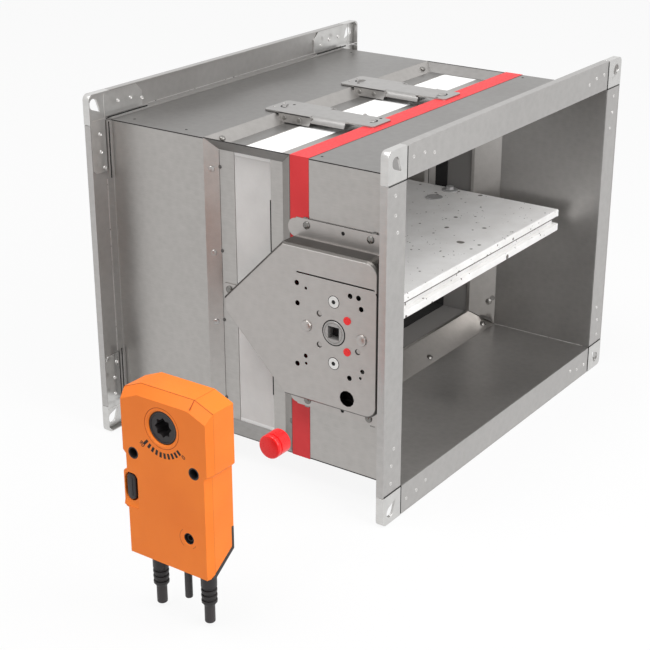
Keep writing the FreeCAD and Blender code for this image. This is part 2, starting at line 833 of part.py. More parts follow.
def housing_face_holes():
    """Holes of the drive face: the bar that cuts each, its place from the drive axis, its radius."""
    large = S["large_hole_radius"]
    small = S["small_hole_radius"]
    fixing = S["fixing_radius"]
    along = S["fixing_along"]
    down = S["fixing_down"]
    screw_radius = S["bearing_screw_shank"] + S["bearing_screw_clearance"]
    punched = [
        (-41, 40, large), (-40.4, 20.2, large), (-30.9, 36.7, small),
        (17.7, 39.8, large), (26.7, 39.8, large), (29.7, 29.8, large),
        (-41, -40.3, large), (-31, -37.8, small), (29.4, -37.4, small), (17.4, -40.4, large),
        (S["sensor_hole_along"], -S["sensor_hole_down"], S["sensor_hole_radius"]),
        (S["plug_place_along"], S["plug_place_up"], S["plug_radius"]),
        (S["plug_place_along"], -S["plug_place_up"], S["plug_radius"]),
        (-16, -15.3, small * 2), (-16, 15.3, small * 2), (26.3, -12.2, small * 2),
        (0, S["bearing_screw_place"], screw_radius),
        (0, -S["bearing_screw_place"], screw_radius),
    ]
    bored = [
        (-along, -down, fixing), (along, -down, fixing),
        (0, 0, S["drive_hub_radius"] + S["drive_hub_clearance"]),
    ]
    return ([(many_sided, *hole) for hole in punched]
            + [(cylinder, *hole) for hole in bored])


def housing():
    sheet = S["housing_sheet"]
    rim = S["housing_rim_bevel"]
    shell = cut("housing_shell",
                housing_form("housing_outer", zero, wall_face, housing_face, rim),
                housing_form("housing_cavity", sheet, wall_face, housing_inside,
                             rim - sheet / 2))
    skirt = cut("housing_skirt_ring",
                housing_form("skirt_outer", zero, waist_y, wall_face, None),
                housing_form("skirt_inner", sheet, waist_y, wall_face, None))
    bevel_x = S["waist_front"]
    beyond = box("beyond_waist", (bevel_x, end_x), (-outer_y - 5, -waist_y + 5), (-outer_z, outer_z))
    bevel = frustum("skirt_bevel", (S["board_half_length"], S["waist_front"]),
                    (waist_y - S["waist_depth"] * (1 / 3), outer_y), (inner_z, inner_z))
    skirt = cut("housing_skirt", skirt, beyond, bevel)
    feet = []
    for side, sign in (("upper", 1), ("lower", -1)):
        low = S["housing_half_height"] - sheet
        high = S["housing_half_height"] + S["housing_foot_width"]
        z = (low, high) if sign > 0 else (-high, -low)
        rounded = S["housing_foot_rear"] + S["housing_foot_round"]
        foot = box(f"foot_{side}", (rounded, housing_foot_front),
                   (-wall_face - sheet, -wall_face), z)
        end = cylinder(f"foot_end_{side}", "y",
                       (rounded, -wall_face - sheet, sign * (low + S["housing_foot_round"])),
                       sheet, S["housing_foot_round"])
        feet += [foot, end]
    ear = box("housing_ear", (-S["housing_ear_reach"], -S["housing_tip"] + sheet / 2),
              (-waist_y - sheet, -waist_y),
              (-S["housing_tip_half_height"], S["housing_tip_half_height"]))
    solid = fuse("housing_solid", shell, skirt, ear, *feet)
    tools = []
    for number, (bar, u, v, radius) in enumerate(housing_face_holes()):
        tools.append(bar(f"face_hole_{number}", "y",
                         (drive_x + u, -housing_face - 1, as_size(v)), sheet + 2, radius))
    slit = (S["slit_height"] - S["slit_width"] / 2, S["slit_height"] + S["slit_width"] / 2)
    tools.append(box("face_slit", (S["slit_rear"], housing_front - S["slit_setback"]),
                     (-housing_face - 1, -housing_inside + 1), slit))
    for number, (x, z) in enumerate(housing_screw_places()):
        tools.append(screw_hole(f"foot_hole_{number}", x, z, wall_face, wall_face + sheet))
    tools.append(screw_hole("ear_hole", -S["housing_ear_screw"], zero, waist_y, waist_y + sheet))
    return node(cut("housing_pierced", solid, *tools), "mechanism_housing")


def housing_screws():
    screws = []
    seat = -wall_face - S["housing_sheet"]
    for x, z in housing_screw_places():
        screws.append(screw(f"housing_screw_{len(screws)}", "y", -1, (x, seat, z),
                                  S["screw_shank_length"]))
    ear_seat = -waist_y - S["housing_sheet"]
    screws.append(screw("ear_screw", "y", -1, (-S["housing_ear_screw"], ear_seat, zero),
                              S["housing_sheet"]))
    return node(group("housing_screw_group", screws), "housing_screws")


def blanking_plugs():
    """Two snap-in caps beside the drive point."""
    plugs = []
    for side in (1, -1):
        x = drive_x + S["plug_place_along"]
        z = side * S["plug_place_up"]
        stem = many_sided(f"plug_stem_{side + 1}", "y", (x, -housing_face, z),
                        S["housing_sheet"], S["plug_radius"] - 0.1)
        head = many_sided(f"plug_head_{side + 1}", "y", (x, -housing_face - S["plug_head"], z),
                          S["plug_head"], S["plug_radius"] + 0.5, sides=24)
        plugs.append(fuse(f"plug_{side + 1}", head, stem))
    return node(group("plug_group", plugs), "blanking_plugs")


def bearing_plate():
    """The plate behind the housing's face in which the drive hub turns."""
    thick = S["bearing_plate_thickness"]
    start = -housing_inside
    half_w = S["bearing_plate_half_width"]
    half_h = S["bearing_plate_half_height"]
    slab = box("bearing_slab", (drive_x - half_w, drive_x + half_w), (start, start + thick),
               (-half_h, half_h))
    tools = [cylinder("bearing_bore", "y", (drive_x, start - 1, zero), thick + 2,
                      S["drive_hub_radius"] + S["drive_hub_clearance"])]
    for side in (1, -1):
        z = side * S["bearing_screw_place"]
        tools.append(many_sided(f"bearing_hole_{side + 1}", "y", (drive_x, start - 1, z),
                                thick + 2, S["bearing_screw_shank"] + S["bearing_screw_clearance"]))
    return node(cut("bearing_drilled", slab, *tools), "drive_bearing_plate")


def bearing_screws():
    """Low heads on the face that hold the bearing plate behind it."""
    screws = []
    for side in (1, -1):
        z = side * S["bearing_screw_place"]
        head = many_sided(f"face_screw_head_{side + 1}", "y", (drive_x, -housing_face - 0.5, z),
                          as_size(0.5), S["bearing_screw_radius"], sides=24)
        shank = many_sided(f"face_screw_shank_{side + 1}", "y", (drive_x, -housing_face, z),
                           S["housing_sheet"] + S["bearing_plate_thickness"] + 2,
                           S["bearing_screw_shank"])
        screws.append(fuse(f"face_screw_{side + 1}", head, shank))
    return node(group("face_screw_group", screws), "bearing_plate_screws")


# Blade and its shafts.

def blade_boards():
    chamfer = S["blade_edge_chamfer"]
    core_half = S["blade_core"] / 2
    half_x = blade_half_length
    half_y = blade_half_width
    holes = clamp_holes("board")
    for side, sign in (("upper", 1), ("lower", -1)):
        z = (core_half, blade_half_thickness)
        if sign < 0:
            z = (-blade_half_thickness, -core_half)
        slab = box(f"blade_{side}", (-half_x, half_x), (-half_y, half_y), z)
        bevelled = doc.addObject("Part::Chamfer", f"blade_{side}_edge")
        bevelled.Base = slab
        doc.recompute()
        outside = sign * blade_half_thickness.value
        bevelled.Edges = [(n, chamfer.value, chamfer.value)
                          for n, e in enumerate(slab.Shape.Edges, start=1)
                          if abs(e.CenterOfMass.z - outside) < 1e-4]
        node(cut(f"blade_{side}_drilled", bevelled, holes), f"blade_{side}_board")
    core_x = half_x - S["blade_groove"]
    core_y = half_y - S["blade_groove"]
    core = box("blade_core_slab", (-core_x, core_x), (-core_y, core_y), (-core_half, core_half))
    slots = []
    slot_half = S["tang_width"] / 2 + S["tang_clearance"]
    for side in (1, -1):
        inner = half_y - S["tang_length"] - S["tang_clearance"]
        y = (inner, half_y) if side > 0 else (-half_y, -inner)
        slots.append(box(f"tang_slot_{side + 1}", (-slot_half, slot_half), y,
                         (-core_half, core_half)))
    node(cut("blade_core_slotted", core, *slots), "blade_core_board")


def clamp_places():
    return [side * (blade_half_width - setback) for side in (1, -1)
            for setback in (S["clamp_outer_setback"], S["clamp_inner_setback"])]


def clamp_holes(name):
    radius = S["clamp_bolt_radius"] + S["bolt_clearance"]
    reach = blade_half_thickness + 1
    return group(f"{name}_clamp_holes", [
        many_sided(f"{name}_clamp_hole_{n}", "z", (zero, y, -reach), 2 * reach, radius)
        for n, y in enumerate(clamp_places())])


def blade_shaft(name, side, reach):
    """A round stub with a flat tang that lies in the blade's core board."""
    tang_half = S["blade_core"] / 2 - S["tang_clearance"]
    half_w = S["tang_width"] / 2
    edge = blade_half_width
    inner = edge - S["tang_length"]
    neck = edge + S["shaft_blade_gap"]
    y = (inner, neck + 1) if side > 0 else (-neck - 1, -inner)
    tang = box(f"{name}_tang", (-half_w, half_w), y, (-tang_half, tang_half))
    start = neck if side > 0 else -reach
    stub = cylinder(f"{name}_stub", "y", (zero, start, zero), reach - neck, S["shaft_radius"])
    shaft = fuse(f"{name}_solid", tang, stub)
    return node(cut(f"{name}_drilled", shaft, clamp_holes(name)), name)


def blade_clamps():
    """Discs above and below the blade and the bolts that draw them onto the tangs."""
    discs = []
    bolts = []
    thick = S["clamp_disc_thickness"]
    top = blade_half_thickness
    for n, y in enumerate(clamp_places()):
        upper = many_sided(f"disc_upper_{n}", "z", (zero, y, top), thick,
                           S["clamp_disc_radius"], sides=24)
        if n % 2 == 0:
            boss = many_sided(f"disc_boss_{n}", "z", (zero, y, top),
                              thick + S["clamp_boss_height"], S["clamp_boss_radius"], sides=6)
            upper = fuse(f"disc_with_boss_{n}", upper, boss)
        lower = many_sided(f"disc_lower_{n}", "z", (zero, y, -top - thick), thick,
                           S["clamp_disc_radius"], sides=24)
        discs += [upper, lower]
        bolts.append(many_sided(f"clamp_bolt_{n}", "z", (zero, y, -top), 2 * top,
                                S["clamp_bolt_radius"]))
    node(group("clamp_disc_group", discs), "blade_clamp_discs")
    node(group("clamp_bolt_group", bolts), "blade_clamp_bolts")


def bushes(drive_reach, pivot_reach):
    """Bearings of the two shafts in the fire board."""
    bore = S["shaft_radius"] + S["shaft_clearance"]
    wall = bore + S["bush_wall"]
    inner = board_inner_y - S["bush_stand"]
    outer = waist_y + S["bush_stand"]
    ring = cylinder("drive_bush_ring", "y", (zero, -outer, zero), outer - inner, wall)
    hole = cylinder("drive_bush_bore", "y", (zero, -outer - 1, zero), outer - inner + 2, bore)
    node(cut("drive_bush_bored", ring, hole), "drive_side_bush")
    cap_end = pivot_reach + S["pivot_end_gap"] + S["pivot_cap"]
    cup = cylinder("pivot_bush_cup", "y", (zero, inner, zero), cap_end - inner, wall)
    well = cylinder("pivot_bush_well", "y", (zero, inner - 1, zero),
                    cap_end - S["pivot_cap"] - inner + 1, bore)
    node(cut("pivot_bush_bored", cup, well), "far_side_bush")


# Linkage: two cranks of equal length and the rod between them.

def crank_pin_offset():
    angle = math.radians(SIZES["crank_angle"])
    return (S["crank_radius"] * math.cos(angle), S["crank_radius"] * math.sin(angle))


def crank(name, axis_x, y_low, pin_from, pin_to, bore):
    """A hub and an eye joined by an arm, with the pin riveted into the eye."""
    pin_x, pin_z = crank_pin_offset()
    thick = S["crank_thickness"]
    hub = cylinder(f"{name}_hub", "y", (axis_x, y_low, zero), thick, S["crank_hub_radius"])
    eye = cylinder(f"{name}_eye", "y", (axis_x + pin_x, y_low, pin_z), thick,
                   S["crank_eye_radius"])
    pin = cylinder(f"{name}_pin", "y", (axis_x + pin_x, pin_from, pin_z), pin_to - pin_from,
                   S["crank_pin_radius"])
    solid = fuse(f"{name}_solid", hub, eye, pin)
    if bore is None:
        return node(solid, name)
    hole = cylinder(f"{name}_bore", "y", (axis_x, y_low - 1, zero), thick + 2, bore)
    return node(cut(f"{name}_bored", solid, hole), name)


def linkage(blade_crank_y, rod_y, drive_crank_y):
    """Layers from the wall outwards: blade crank, rod, drive crank."""
    rod = S["rod_thickness"]
    gap = S["link_gap"]
    pin_over = rod + gap / 2
    blade_outer = blade_crank_y
    crank("blade_crank", zero, blade_outer, blade_outer - pin_over - gap / 2, blade_outer + 1,
          S["shaft_radius"])
    drive_back = drive_crank_y + S["crank_thickness"]
    crank("drive_crank", drive_x, drive_crank_y, drive_back - 1, drive_back + pin_over + gap / 2,
          None)
    pin_x, pin_z = crank_pin_offset()
    half = S["rod_half_width"]
    eye = S["crank_eye_radius"] + 0.5
    bar = box("rod_bar", (pin_x, drive_x + pin_x), (rod_y, rod_y + rod),
              (pin_z - half, pin_z + half))
    ends = [cylinder(f"rod_end_{n}", "y", (x, rod_y, pin_z), rod, eye)
            for n, x in enumerate((pin_x, drive_x + pin_x))]
    holes = [cylinder(f"rod_hole_{n}", "y", (x, rod_y - 1, pin_z), rod + 2,
                      S["crank_pin_radius"] + S["pivot_clearance"])
             for n, x in enumerate((pin_x, drive_x + pin_x))]
    node(cut("rod_drilled", fuse("rod_solid", bar, *ends), *holes), "coupling_rod")


def drive_hub(back_y):
    """The round hub whose square socket takes the actuator's spindle."""
    face = -housing_face - S["drive_hub_proud"]
    barrel = cylinder("hub_barrel", "y", (drive_x, face, zero), back_y - face,
                      S["drive_hub_radius"])
    half = S["square_side"] / 2 + S["square_clearance"]
    socket = box("hub_socket", (drive_x - half, drive_x + half), (face - 1, face + S["socket_depth"]),
                 (-half, half))
    return node(cut("hub_socketed", barrel, socket), "drive_hub")


# Actuator, drawn off along its own axis.

actuator_back = -(housing_face + S["actuator_seat_gap"] + S["actuator_travel"])
actuator_face = actuator_back - S["actuator_depth"]
cover_back = actuator_face + S["cover_depth"]
actuator_x = drive_x + S["actuator_shift"]


def actuator_outline(inset, top):
    """Front view: a head with two cut corners, stepped in below to the body."""
    half = S["actuator_half_width"] - inset
    body = half - S["actuator_neck"]
    step = -S["actuator_step_down"]
    run = S["actuator_corner_run"]
    drop = S["actuator_corner_drop"]
    right = [(body, -S["actuator_bottom"]), (body, step - S["actuator_neck"]), (half, step),
             (half, top - drop), (half - run, top)]
    left = [(-u, v) for u, v in reversed(right)]
    return [(actuator_x + u, v) for u, v in right + left]


def actuator_side():
    """Side view of the orange shells: raked top of the cover, heel cut for the base."""
    bottom = -S["actuator_bottom"]
    skin = S["base_thickness"]
    return [(actuator_face, S["actuator_top"] - S["cover_top_slope"]),
            (cover_back, S["actuator_top"]), (actuator_back, S["actuator_top"]),
            (actuator_back, -S["base_top"]), (actuator_back - skin, -S["base_top"]),
            (actuator_back - skin, -S["base_heel"]),
            (actuator_face + S["cover_depth"] / 2, bottom), (actuator_face, bottom)]


def actuator_prism(name, y_from, y_to, inset):
    body = new_body(name)
    sketch = new_sketch(body, name + "_front_view", "XZ_Plane", -y_to)
    draw_polygon(sketch, actuator_outline(inset, S["actuator_top"]))
    pad(body, sketch, y_to - y_from)
    return body


def actuator_cover_loft():
    """The cover narrows towards its face at both sides."""
    body = new_body("cover_loft")
    back = new_sketch(body, "cover_back_view", "XZ_Plane", -cover_back)
    draw_polygon(back, actuator_outline(zero, S["actuator_top"]))
    front = new_sketch(body, "cover_front_view", "XZ_Plane", -actuator_face)
    draw_polygon(front, actuator_outline(S["cover_side_slope"],
                                         S["actuator_top"] - S["cover_top_slope"]))
    loft = body.newObject("PartDesign::AdditiveLoft", "cover_skin")
    loft.Profile = back
    loft.Sections = [front]
    loft.Ruled = True
    doc.recompute()
    return body


def actuator_bores():
    """Everything that is cut through or into the two orange shells."""
    through = S["actuator_depth"] + 2
    start = actuator_face - 1
    tools = [cylinder("clamp_bore", "y", (drive_x, start, zero), through,
                      S["clamp_radius"] + S["clamp_clearance"])]
    for side in (1, -1):
        tools.append(cylinder(f"mount_bore_{side + 1}", "y",
                              (drive_x + side * S["fixing_along"], start, -S["fixing_down"]),
                              through, S["mount_bore_radius"]))
    tools.append(many_sided("winding_bore", "y",
                            (drive_x + S["winding_along"], start, -S["winding_down"]),
                            S["winding_depth"] + 1, S["winding_radius"], sides=24))
    lever_x = drive_x - S["lever_along"]
    lever_z = -S["lever_down"]
    half = S["lever_slot_half_width"]
    tools.append(box("lever_slot", (actuator_x - S["actuator_half_width"] - 1, lever_x + half),
                     (start, actuator_face + S["lever_depth"]),
                     (lever_z - S["lever_slot_down"], lever_z + S["lever_slot_up"])))
    pocket_length = S["capsule_length"] + S["capsule_pocket_clearance"]
    tools.append(many_sided("capsule_pocket", "y",
                            (drive_x + S["sensor_hole_along"], actuator_back - pocket_length,
                             -S["sensor_hole_down"]),
                            pocket_length + 1,
                            S["capsule_radius"] + S["capsule_pocket_clearance"], sides=24))
    return fuse("actuator_bores", *tools)


def actuator_shells():
    """Cover and case share one side view and one set of bores."""
    profile = new_body("actuator_side_prism")
    sketch = new_sketch(profile, "actuator_side_view", "YZ_Plane", actuator_x)
    draw_polygon(sketch, actuator_side())
    pad(profile, sketch, 4 * S["actuator_half_width"], both_ways=True)
    bores = actuator_bores()
    cover = common("cover_form", actuator_cover_loft(), profile)
    node(cut("cover_bored", cover, bores), "actuator_cover")
    case = common("case_form", actuator_prism("case_prism", cover_back, actuator_back, zero), profile)
    node(cut("case_bored", case, bores), "actuator_case")


def actuator_base():
    """The dark base that closes the heel and carries the cable glands."""
    skin = S["base_thickness"]
    bottom = -S["actuator_bottom"]
    front = actuator_face + S["cover_depth"] / 2
    body = new_body("actuator_base_body")
    sketch = new_sketch(body, "base_side_view", "YZ_Plane", actuator_x)
    draw_polygon(sketch, [
        (actuator_back, -S["base_top"]), (actuator_back - skin, -S["base_top"]),
        (actuator_back - skin, -S["base_heel"]), (front, bottom),
        (front + 2 * skin, bottom - skin / 2), (actuator_back, -S["base_heel"] - skin)])
    half = S["actuator_half_width"] - S["actuator_neck"]
    pad(body, sketch, 2 * half, both_ways=True)
    return node(body, "actuator_base")


def gland_axis_y():
    return actuator_face + S["gland_setback"]


def under_base(name, form):
    """Leave only what lies below the base's slanted underside."""
    skin = S["base_thickness"]
    front = actuator_face + S["cover_depth"] / 2 + 2 * skin
    low = -S["actuator_bottom"] - skin / 2
    high = -S["base_heel"] - skin
    body = new_body(name + "_above")
    sketch = new_sketch(body, name + "_above_view", "YZ_Plane", actuator_x)
    draw_polygon(sketch, [(front, low), (actuator_back, high), (actuator_back, zero), (front, zero)])
    pad(body, sketch, 4 * S["actuator_half_width"], both_ways=True)
    return cut(name, form, body)


def cable_glands():
    """Stepped strain reliefs, open below for the cables."""
    glands = []
    y = gland_axis_y()
    bottom = -S["gland_bottom"]
    collar = bottom + S["gland_sleeve_length"]
    top = -S["base_heel"]
    for side in (1, -1):
        x = actuator_x + side * S["gland_spread"]
        name = f"gland_{side + 1}"
        sleeve_form = many_sided(f"{name}_sleeve", "z", (x, y, bottom), top - bottom,
                                 S["gland_sleeve_radius"], sides=24)
        collar_form = many_sided(f"{name}_collar", "z", (x, y, collar), top - collar,
                                 S["gland_radius"], sides=24)
        hole = many_sided(f"{name}_hole", "z", (x, y, bottom - 1), S["gland_bore_depth"] + 1,
                          S["cable_radius"] + S["cable_clearance"], sides=24)
        stepped = fuse(f"{name}_stepped", sleeve_form, collar_form)
        glands.append(under_base(f"{name}_form", cut(f"{name}_bored", stepped, hole)))
    return node(group("gland_group", glands), "cable_glands")


def cable_stubs():
    """Short ends of the two power cables and of the signal cable."""
    stubs = []
    y = gland_axis_y()
    for side in (1, -1):
        top = -S["gland_bottom"] + S["gland_bore_depth"]
        low = -S["cable_bottom"]
        stubs.append(many_sided(f"power_cable_{side + 1}", "z",
                                (actuator_x + side * S["gland_spread"], y, low), top - low,
                                S["cable_radius"], sides=24))
    low = -S["signal_cable_bottom"]
    signal = many_sided("signal_cable", "z", (actuator_x + S["signal_cable_shift"], y, low),
                        -S["base_heel"] - low, S["signal_cable_radius"], sides=24)
    stubs.append(under_base("signal_cable_form", signal))
    return node(group("cable_group", stubs), "cable_stubs")


def drive_clamp():
    """The hub that takes the spindle at eight angles, through an eight-pointed hole."""
    start = actuator_face + S["clamp_setback"]
    end = actuator_back - S["clamp_setback"]
    barrel = cylinder("clamp_barrel", "y", (drive_x, start, zero), end - start, S["clamp_radius"])
    half = S["square_side"] / 2 + S["square_clearance"]
    straight = box("clamp_square", (drive_x - half, drive_x + half), (start - 1, end + 1),
                   (-half, half))
    turned = new_body("clamp_square_turned")
    sketch = new_sketch(turned, "clamp_diamond", "XZ_Plane", -end - 1)
    point = half * math.sqrt(2)
    draw_polygon(sketch, [(drive_x + point, zero), (drive_x, point),
                          (drive_x - point, zero), (drive_x, -point)])
    pad(turned, sketch, end - start + 2)
    node(cut("clamp_starred", barrel, straight, turned), "drive_clamp")
    reach = (actuator_face + S["spindle_setback"], actuator_back + S["spindle_reach"])
    side = S["square_side"] / 2
    node(box("spindle", (drive_x - side, drive_x + side), reach, (-side, side)), "square_spindle")


def release_lever():
    """An oval button lever in its slot at the edge of the face."""
    half_w = S["lever_half_width"]
    half_h = S["lever_half_height"]
    x = drive_x - S["lever_along"]
    z = -S["lever_down"]
    start = actuator_face + S["lever_gap"]
    length = S["lever_depth"] - 2 * S["lever_gap"]
    straight = half_h - half_w
    bar = box("lever_bar", (x - half_w, x + half_w), (start, start + length),
              (z - straight, z + straight))
    ends = [cylinder(f"lever_end_{side + 1}", "y", (x, start, z + side * straight), length, half_w)
            for side in (1, -1)]
    return node(fuse("lever_form", bar, *ends), "release_lever")


def trip_capsule():
    """Red capsule of the thermal trip; its bore faces the hole in the housing."""
    back = -(housing_face + S["capsule_seat_gap"] + S["capsule_travel"])
    front = back - S["capsule_length"]
    x = drive_x + S["sensor_hole_along"]
    z = -S["sensor_hole_down"]
    body = new_body("capsule_body")
    sketch = new_sketch(body, "capsule_disc", "XZ_Plane", -back)
    draw_circle(sketch, x, z, S["capsule_radius"])
    pad(body, sketch, S["capsule_length"])
    ease_edges(body, "capsule_edge", S["capsule_edge"], lambda e: lies_at(e, "y", front),
               "Chamfer")
    ring_from = front + S["capsule_groove_place"]
    outer = cylinder("capsule_ring_outer", "y", (x, ring_from, z), S["capsule_groove_width"],
                     S["capsule_radius"] + 1)
    inner = many_sided("capsule_ring_inner", "y", (x, ring_from - 1, z),
                       S["capsule_groove_width"] + 2,
                       S["capsule_radius"] - S["capsule_groove_depth"], sides=24)
    bore = many_sided("capsule_bore", "y", (x, back - S["capsule_bore_depth"], z),
                      S["capsule_bore_depth"] + 1, S["capsule_bore_radius"], sides=24)
    return node(cut("capsule_turned", body, cut("capsule_groove", outer, inner), bore),
                "trip_capsule")


def check_document():
    doc.recompute()
    for thing in doc.Objects:
        if "Invalid" in thing.State or "Error" in thing.State:
            raise ValueError(f"{thing.Name} failed: {thing.State}")
    for piece in nodes:
        shape = piece.Shape
        if shape.isNull() or not shape.isValid() or not shape.Solids:
            raise ValueError(f"{piece.Label} has no valid solid")


def export_parts():
    os.makedirs("parts", exist_ok=True)
    for piece in nodes:
        piece.Shape.exportStep(f"parts/{piece.Label}.step")
    print(len(nodes), "pieces written")


def build():
    sleeve("front", (S["waist_front"], end_x - S["flange_sheet"]))
    sleeve("rear", (-end_x + S["flange_sheet"], -S["waist_rear"]))
    front_collar()
    rear_collar()
    fire_boards()
    seal_strip()
    marking_band()
    flanges()
    corner_cleats()
    for side_name, side in (("top", 1), ("bottom", -1)):
        bridging_bracket(f"{side_name}_bracket_near", side, -1)
        bridging_bracket(f"{side_name}_bracket_far", side, 1)
    bracket_screws()
    housing()
    housing_screws()
    blanking_plugs()
    bearing_plate()
    bearing_screws()

    blade_boards()
    hub_back = -housing_face - S["drive_hub_proud"] + S["drive_hub_length"]
    rod_y = hub_back + S["crank_thickness"] + S["link_gap"] / 2
    blade_crank_y = rod_y + S["rod_thickness"] + S["link_gap"] / 2
    drive_reach = -(blade_crank_y)
    pivot_reach = waist_y
    blade_shaft("blade_drive_shaft", -1, drive_reach)
    blade_shaft("blade_pivot_shaft", 1, pivot_reach)
    blade_clamps()
    bushes(drive_reach, pivot_reach)
    linkage(blade_crank_y, rod_y, hub_back)
    drive_hub(hub_back)

    actuator_shells()
    actuator_base()
    cable_glands()
    cable_stubs()
    drive_clamp()
    release_lever()
    trip_capsule()
    check_document()
    export_parts()


build()
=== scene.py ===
# %% [markdown]
# # Rectangular fire damper
# The looks of a packed damper: zinc-coated sheet, fire board, red film, plastics and the
# small fittings that its solids leave out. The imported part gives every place, and lengths
# are metres in its own frame: +X leaves the front flange, -Y is the mechanism side and +Z
# is up. Small forms are drawn in millimetres and scaled once, when they become a piece.

# %%
import math
from itertools import product

import bmesh
import bpy
from mathutils import Matrix, Vector


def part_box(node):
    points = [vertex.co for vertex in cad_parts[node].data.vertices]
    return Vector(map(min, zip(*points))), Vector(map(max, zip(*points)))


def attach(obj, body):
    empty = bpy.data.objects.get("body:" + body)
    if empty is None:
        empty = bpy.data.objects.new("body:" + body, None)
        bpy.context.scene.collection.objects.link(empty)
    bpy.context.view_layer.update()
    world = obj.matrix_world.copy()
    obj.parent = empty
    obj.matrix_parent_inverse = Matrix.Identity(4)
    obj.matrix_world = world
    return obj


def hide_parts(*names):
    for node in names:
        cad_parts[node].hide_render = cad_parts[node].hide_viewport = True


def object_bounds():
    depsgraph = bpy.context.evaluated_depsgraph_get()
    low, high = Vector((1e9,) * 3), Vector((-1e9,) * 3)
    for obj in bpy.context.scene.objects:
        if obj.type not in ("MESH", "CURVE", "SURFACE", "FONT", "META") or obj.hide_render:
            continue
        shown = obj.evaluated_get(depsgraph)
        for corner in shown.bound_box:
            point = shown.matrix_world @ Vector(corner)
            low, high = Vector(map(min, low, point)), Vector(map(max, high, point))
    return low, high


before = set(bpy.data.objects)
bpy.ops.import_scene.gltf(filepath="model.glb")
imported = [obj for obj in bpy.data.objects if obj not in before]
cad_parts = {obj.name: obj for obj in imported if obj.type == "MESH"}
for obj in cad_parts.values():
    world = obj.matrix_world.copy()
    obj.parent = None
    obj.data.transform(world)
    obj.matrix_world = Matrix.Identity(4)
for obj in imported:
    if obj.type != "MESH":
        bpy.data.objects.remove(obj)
cad_low, cad_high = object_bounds()
MM = 0.001
print("solids:", len(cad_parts))

# %% [markdown]
# ## Camera
# Solved from the photograph: where it stands, how it is turned and how long its lens is.
# The photograph was cropped off centre, so the lens is shifted by a few hundredths.

# %%
CAMERA_PLACE = (0.8216, -1.2371, 0.5213)
CAMERA_AZIMUTH = math.radians(34.456)
CAMERA_ELEVATION = math.radians(22.330)
CAMERA_ROLL = math.radians(0.235)
FRAME_PIXELS = 650
FOCAL_PIXELS = 1481.2
PRINCIPAL_POINT = (344.0, 318.8)


def make_camera():
    data = bpy.data.cameras.new("camera")
    camera = bpy.data.objects.new("camera", data)
    bpy.context.scene.collection.objects.link(camera)
    back = Vector((math.sin(CAMERA_AZIMUTH) * math.cos(CAMERA_ELEVATION),
                   -math.cos(CAMERA_AZIMUTH) * math.cos(CAMERA_ELEVATION),
                   math.sin(CAMERA_ELEVATION)))
    right = Vector((0, 0, 1)).cross(back).normalized()
    up = back.cross(right)
    c, s = math.cos(CAMERA_ROLL), math.sin(CAMERA_ROLL)
    right, up = c * right + s * up, c * up - s * right
    turn = Matrix((right, up, back)).transposed().to_4x4()
    camera.matrix_world = Matrix.Translation(CAMERA_PLACE) @ turn
    data.sensor_width = 36
    data.lens = FOCAL_PIXELS / FRAME_PIXELS * data.sensor_width
    data.shift_x = (FRAME_PIXELS / 2 - PRINCIPAL_POINT[0]) / FRAME_PIXELS
    data.shift_y = (PRINCIPAL_POINT[1] - FRAME_PIXELS / 2) / FRAME_PIXELS
    data.clip_start = 0.05
    data.clip_end = 30
    bpy.context.scene.camera = camera


make_camera()
bpy.context.scene.view_settings.view_transform = "Standard"
print("camera at", CAMERA_PLACE)

# %% [markdown]
# ## Words for nodes
# Materials, the fittings' tree and the world are small graphs of nodes. One function adds
# a node with its settings and links, so each finish below reads as a short recipe. Patterns
# use Object coordinates, which stay put on a piece when its body moves.

# %%
def rgb(code):
    """sRGB hex to the linear colour that sockets take."""
    values = [int(code[i:i + 2], 16) / 255 for i in (1, 3, 5)]
    linear = [v / 12.92 if v <= 0.04045 else ((v + 0.055) / 1.055) ** 2.4 for v in values]
    return (*linear, 1.0)


class Graph:
    """A node tree and the few words needed to fill it."""

    def __init__(self, tree):
        self.tree = tree

    def add(self, kind, inputs=(), **settings):
        made = self.tree.nodes.new(kind)
        for key, value in settings.items():
            setattr(made, key, value)
        self.fill(made, dict(inputs))
        return made

    def fill(self, made, inputs):
        for key, value in inputs.items():
            if isinstance(value, bpy.types.NodeSocket):
                self.tree.links.new(value, made.inputs[key])
            else:
                made.inputs[key].default_value = value

    def sum(self, first, second, how="ADD"):
        return self.add("ShaderNodeMath", {0: first, 1: second}, operation=how).outputs[0]

    def seen(self):
        """1 for what the camera, mirrors and glass see, 0 for the light that falls on things."""
        path = self.add("ShaderNodeLightPath").outputs
        return self.sum(self.sum(path["Is Camera Ray"], path["Is Glossy Ray"], "MAXIMUM"),
                        path["Is Transmission Ray"], "MAXIMUM")


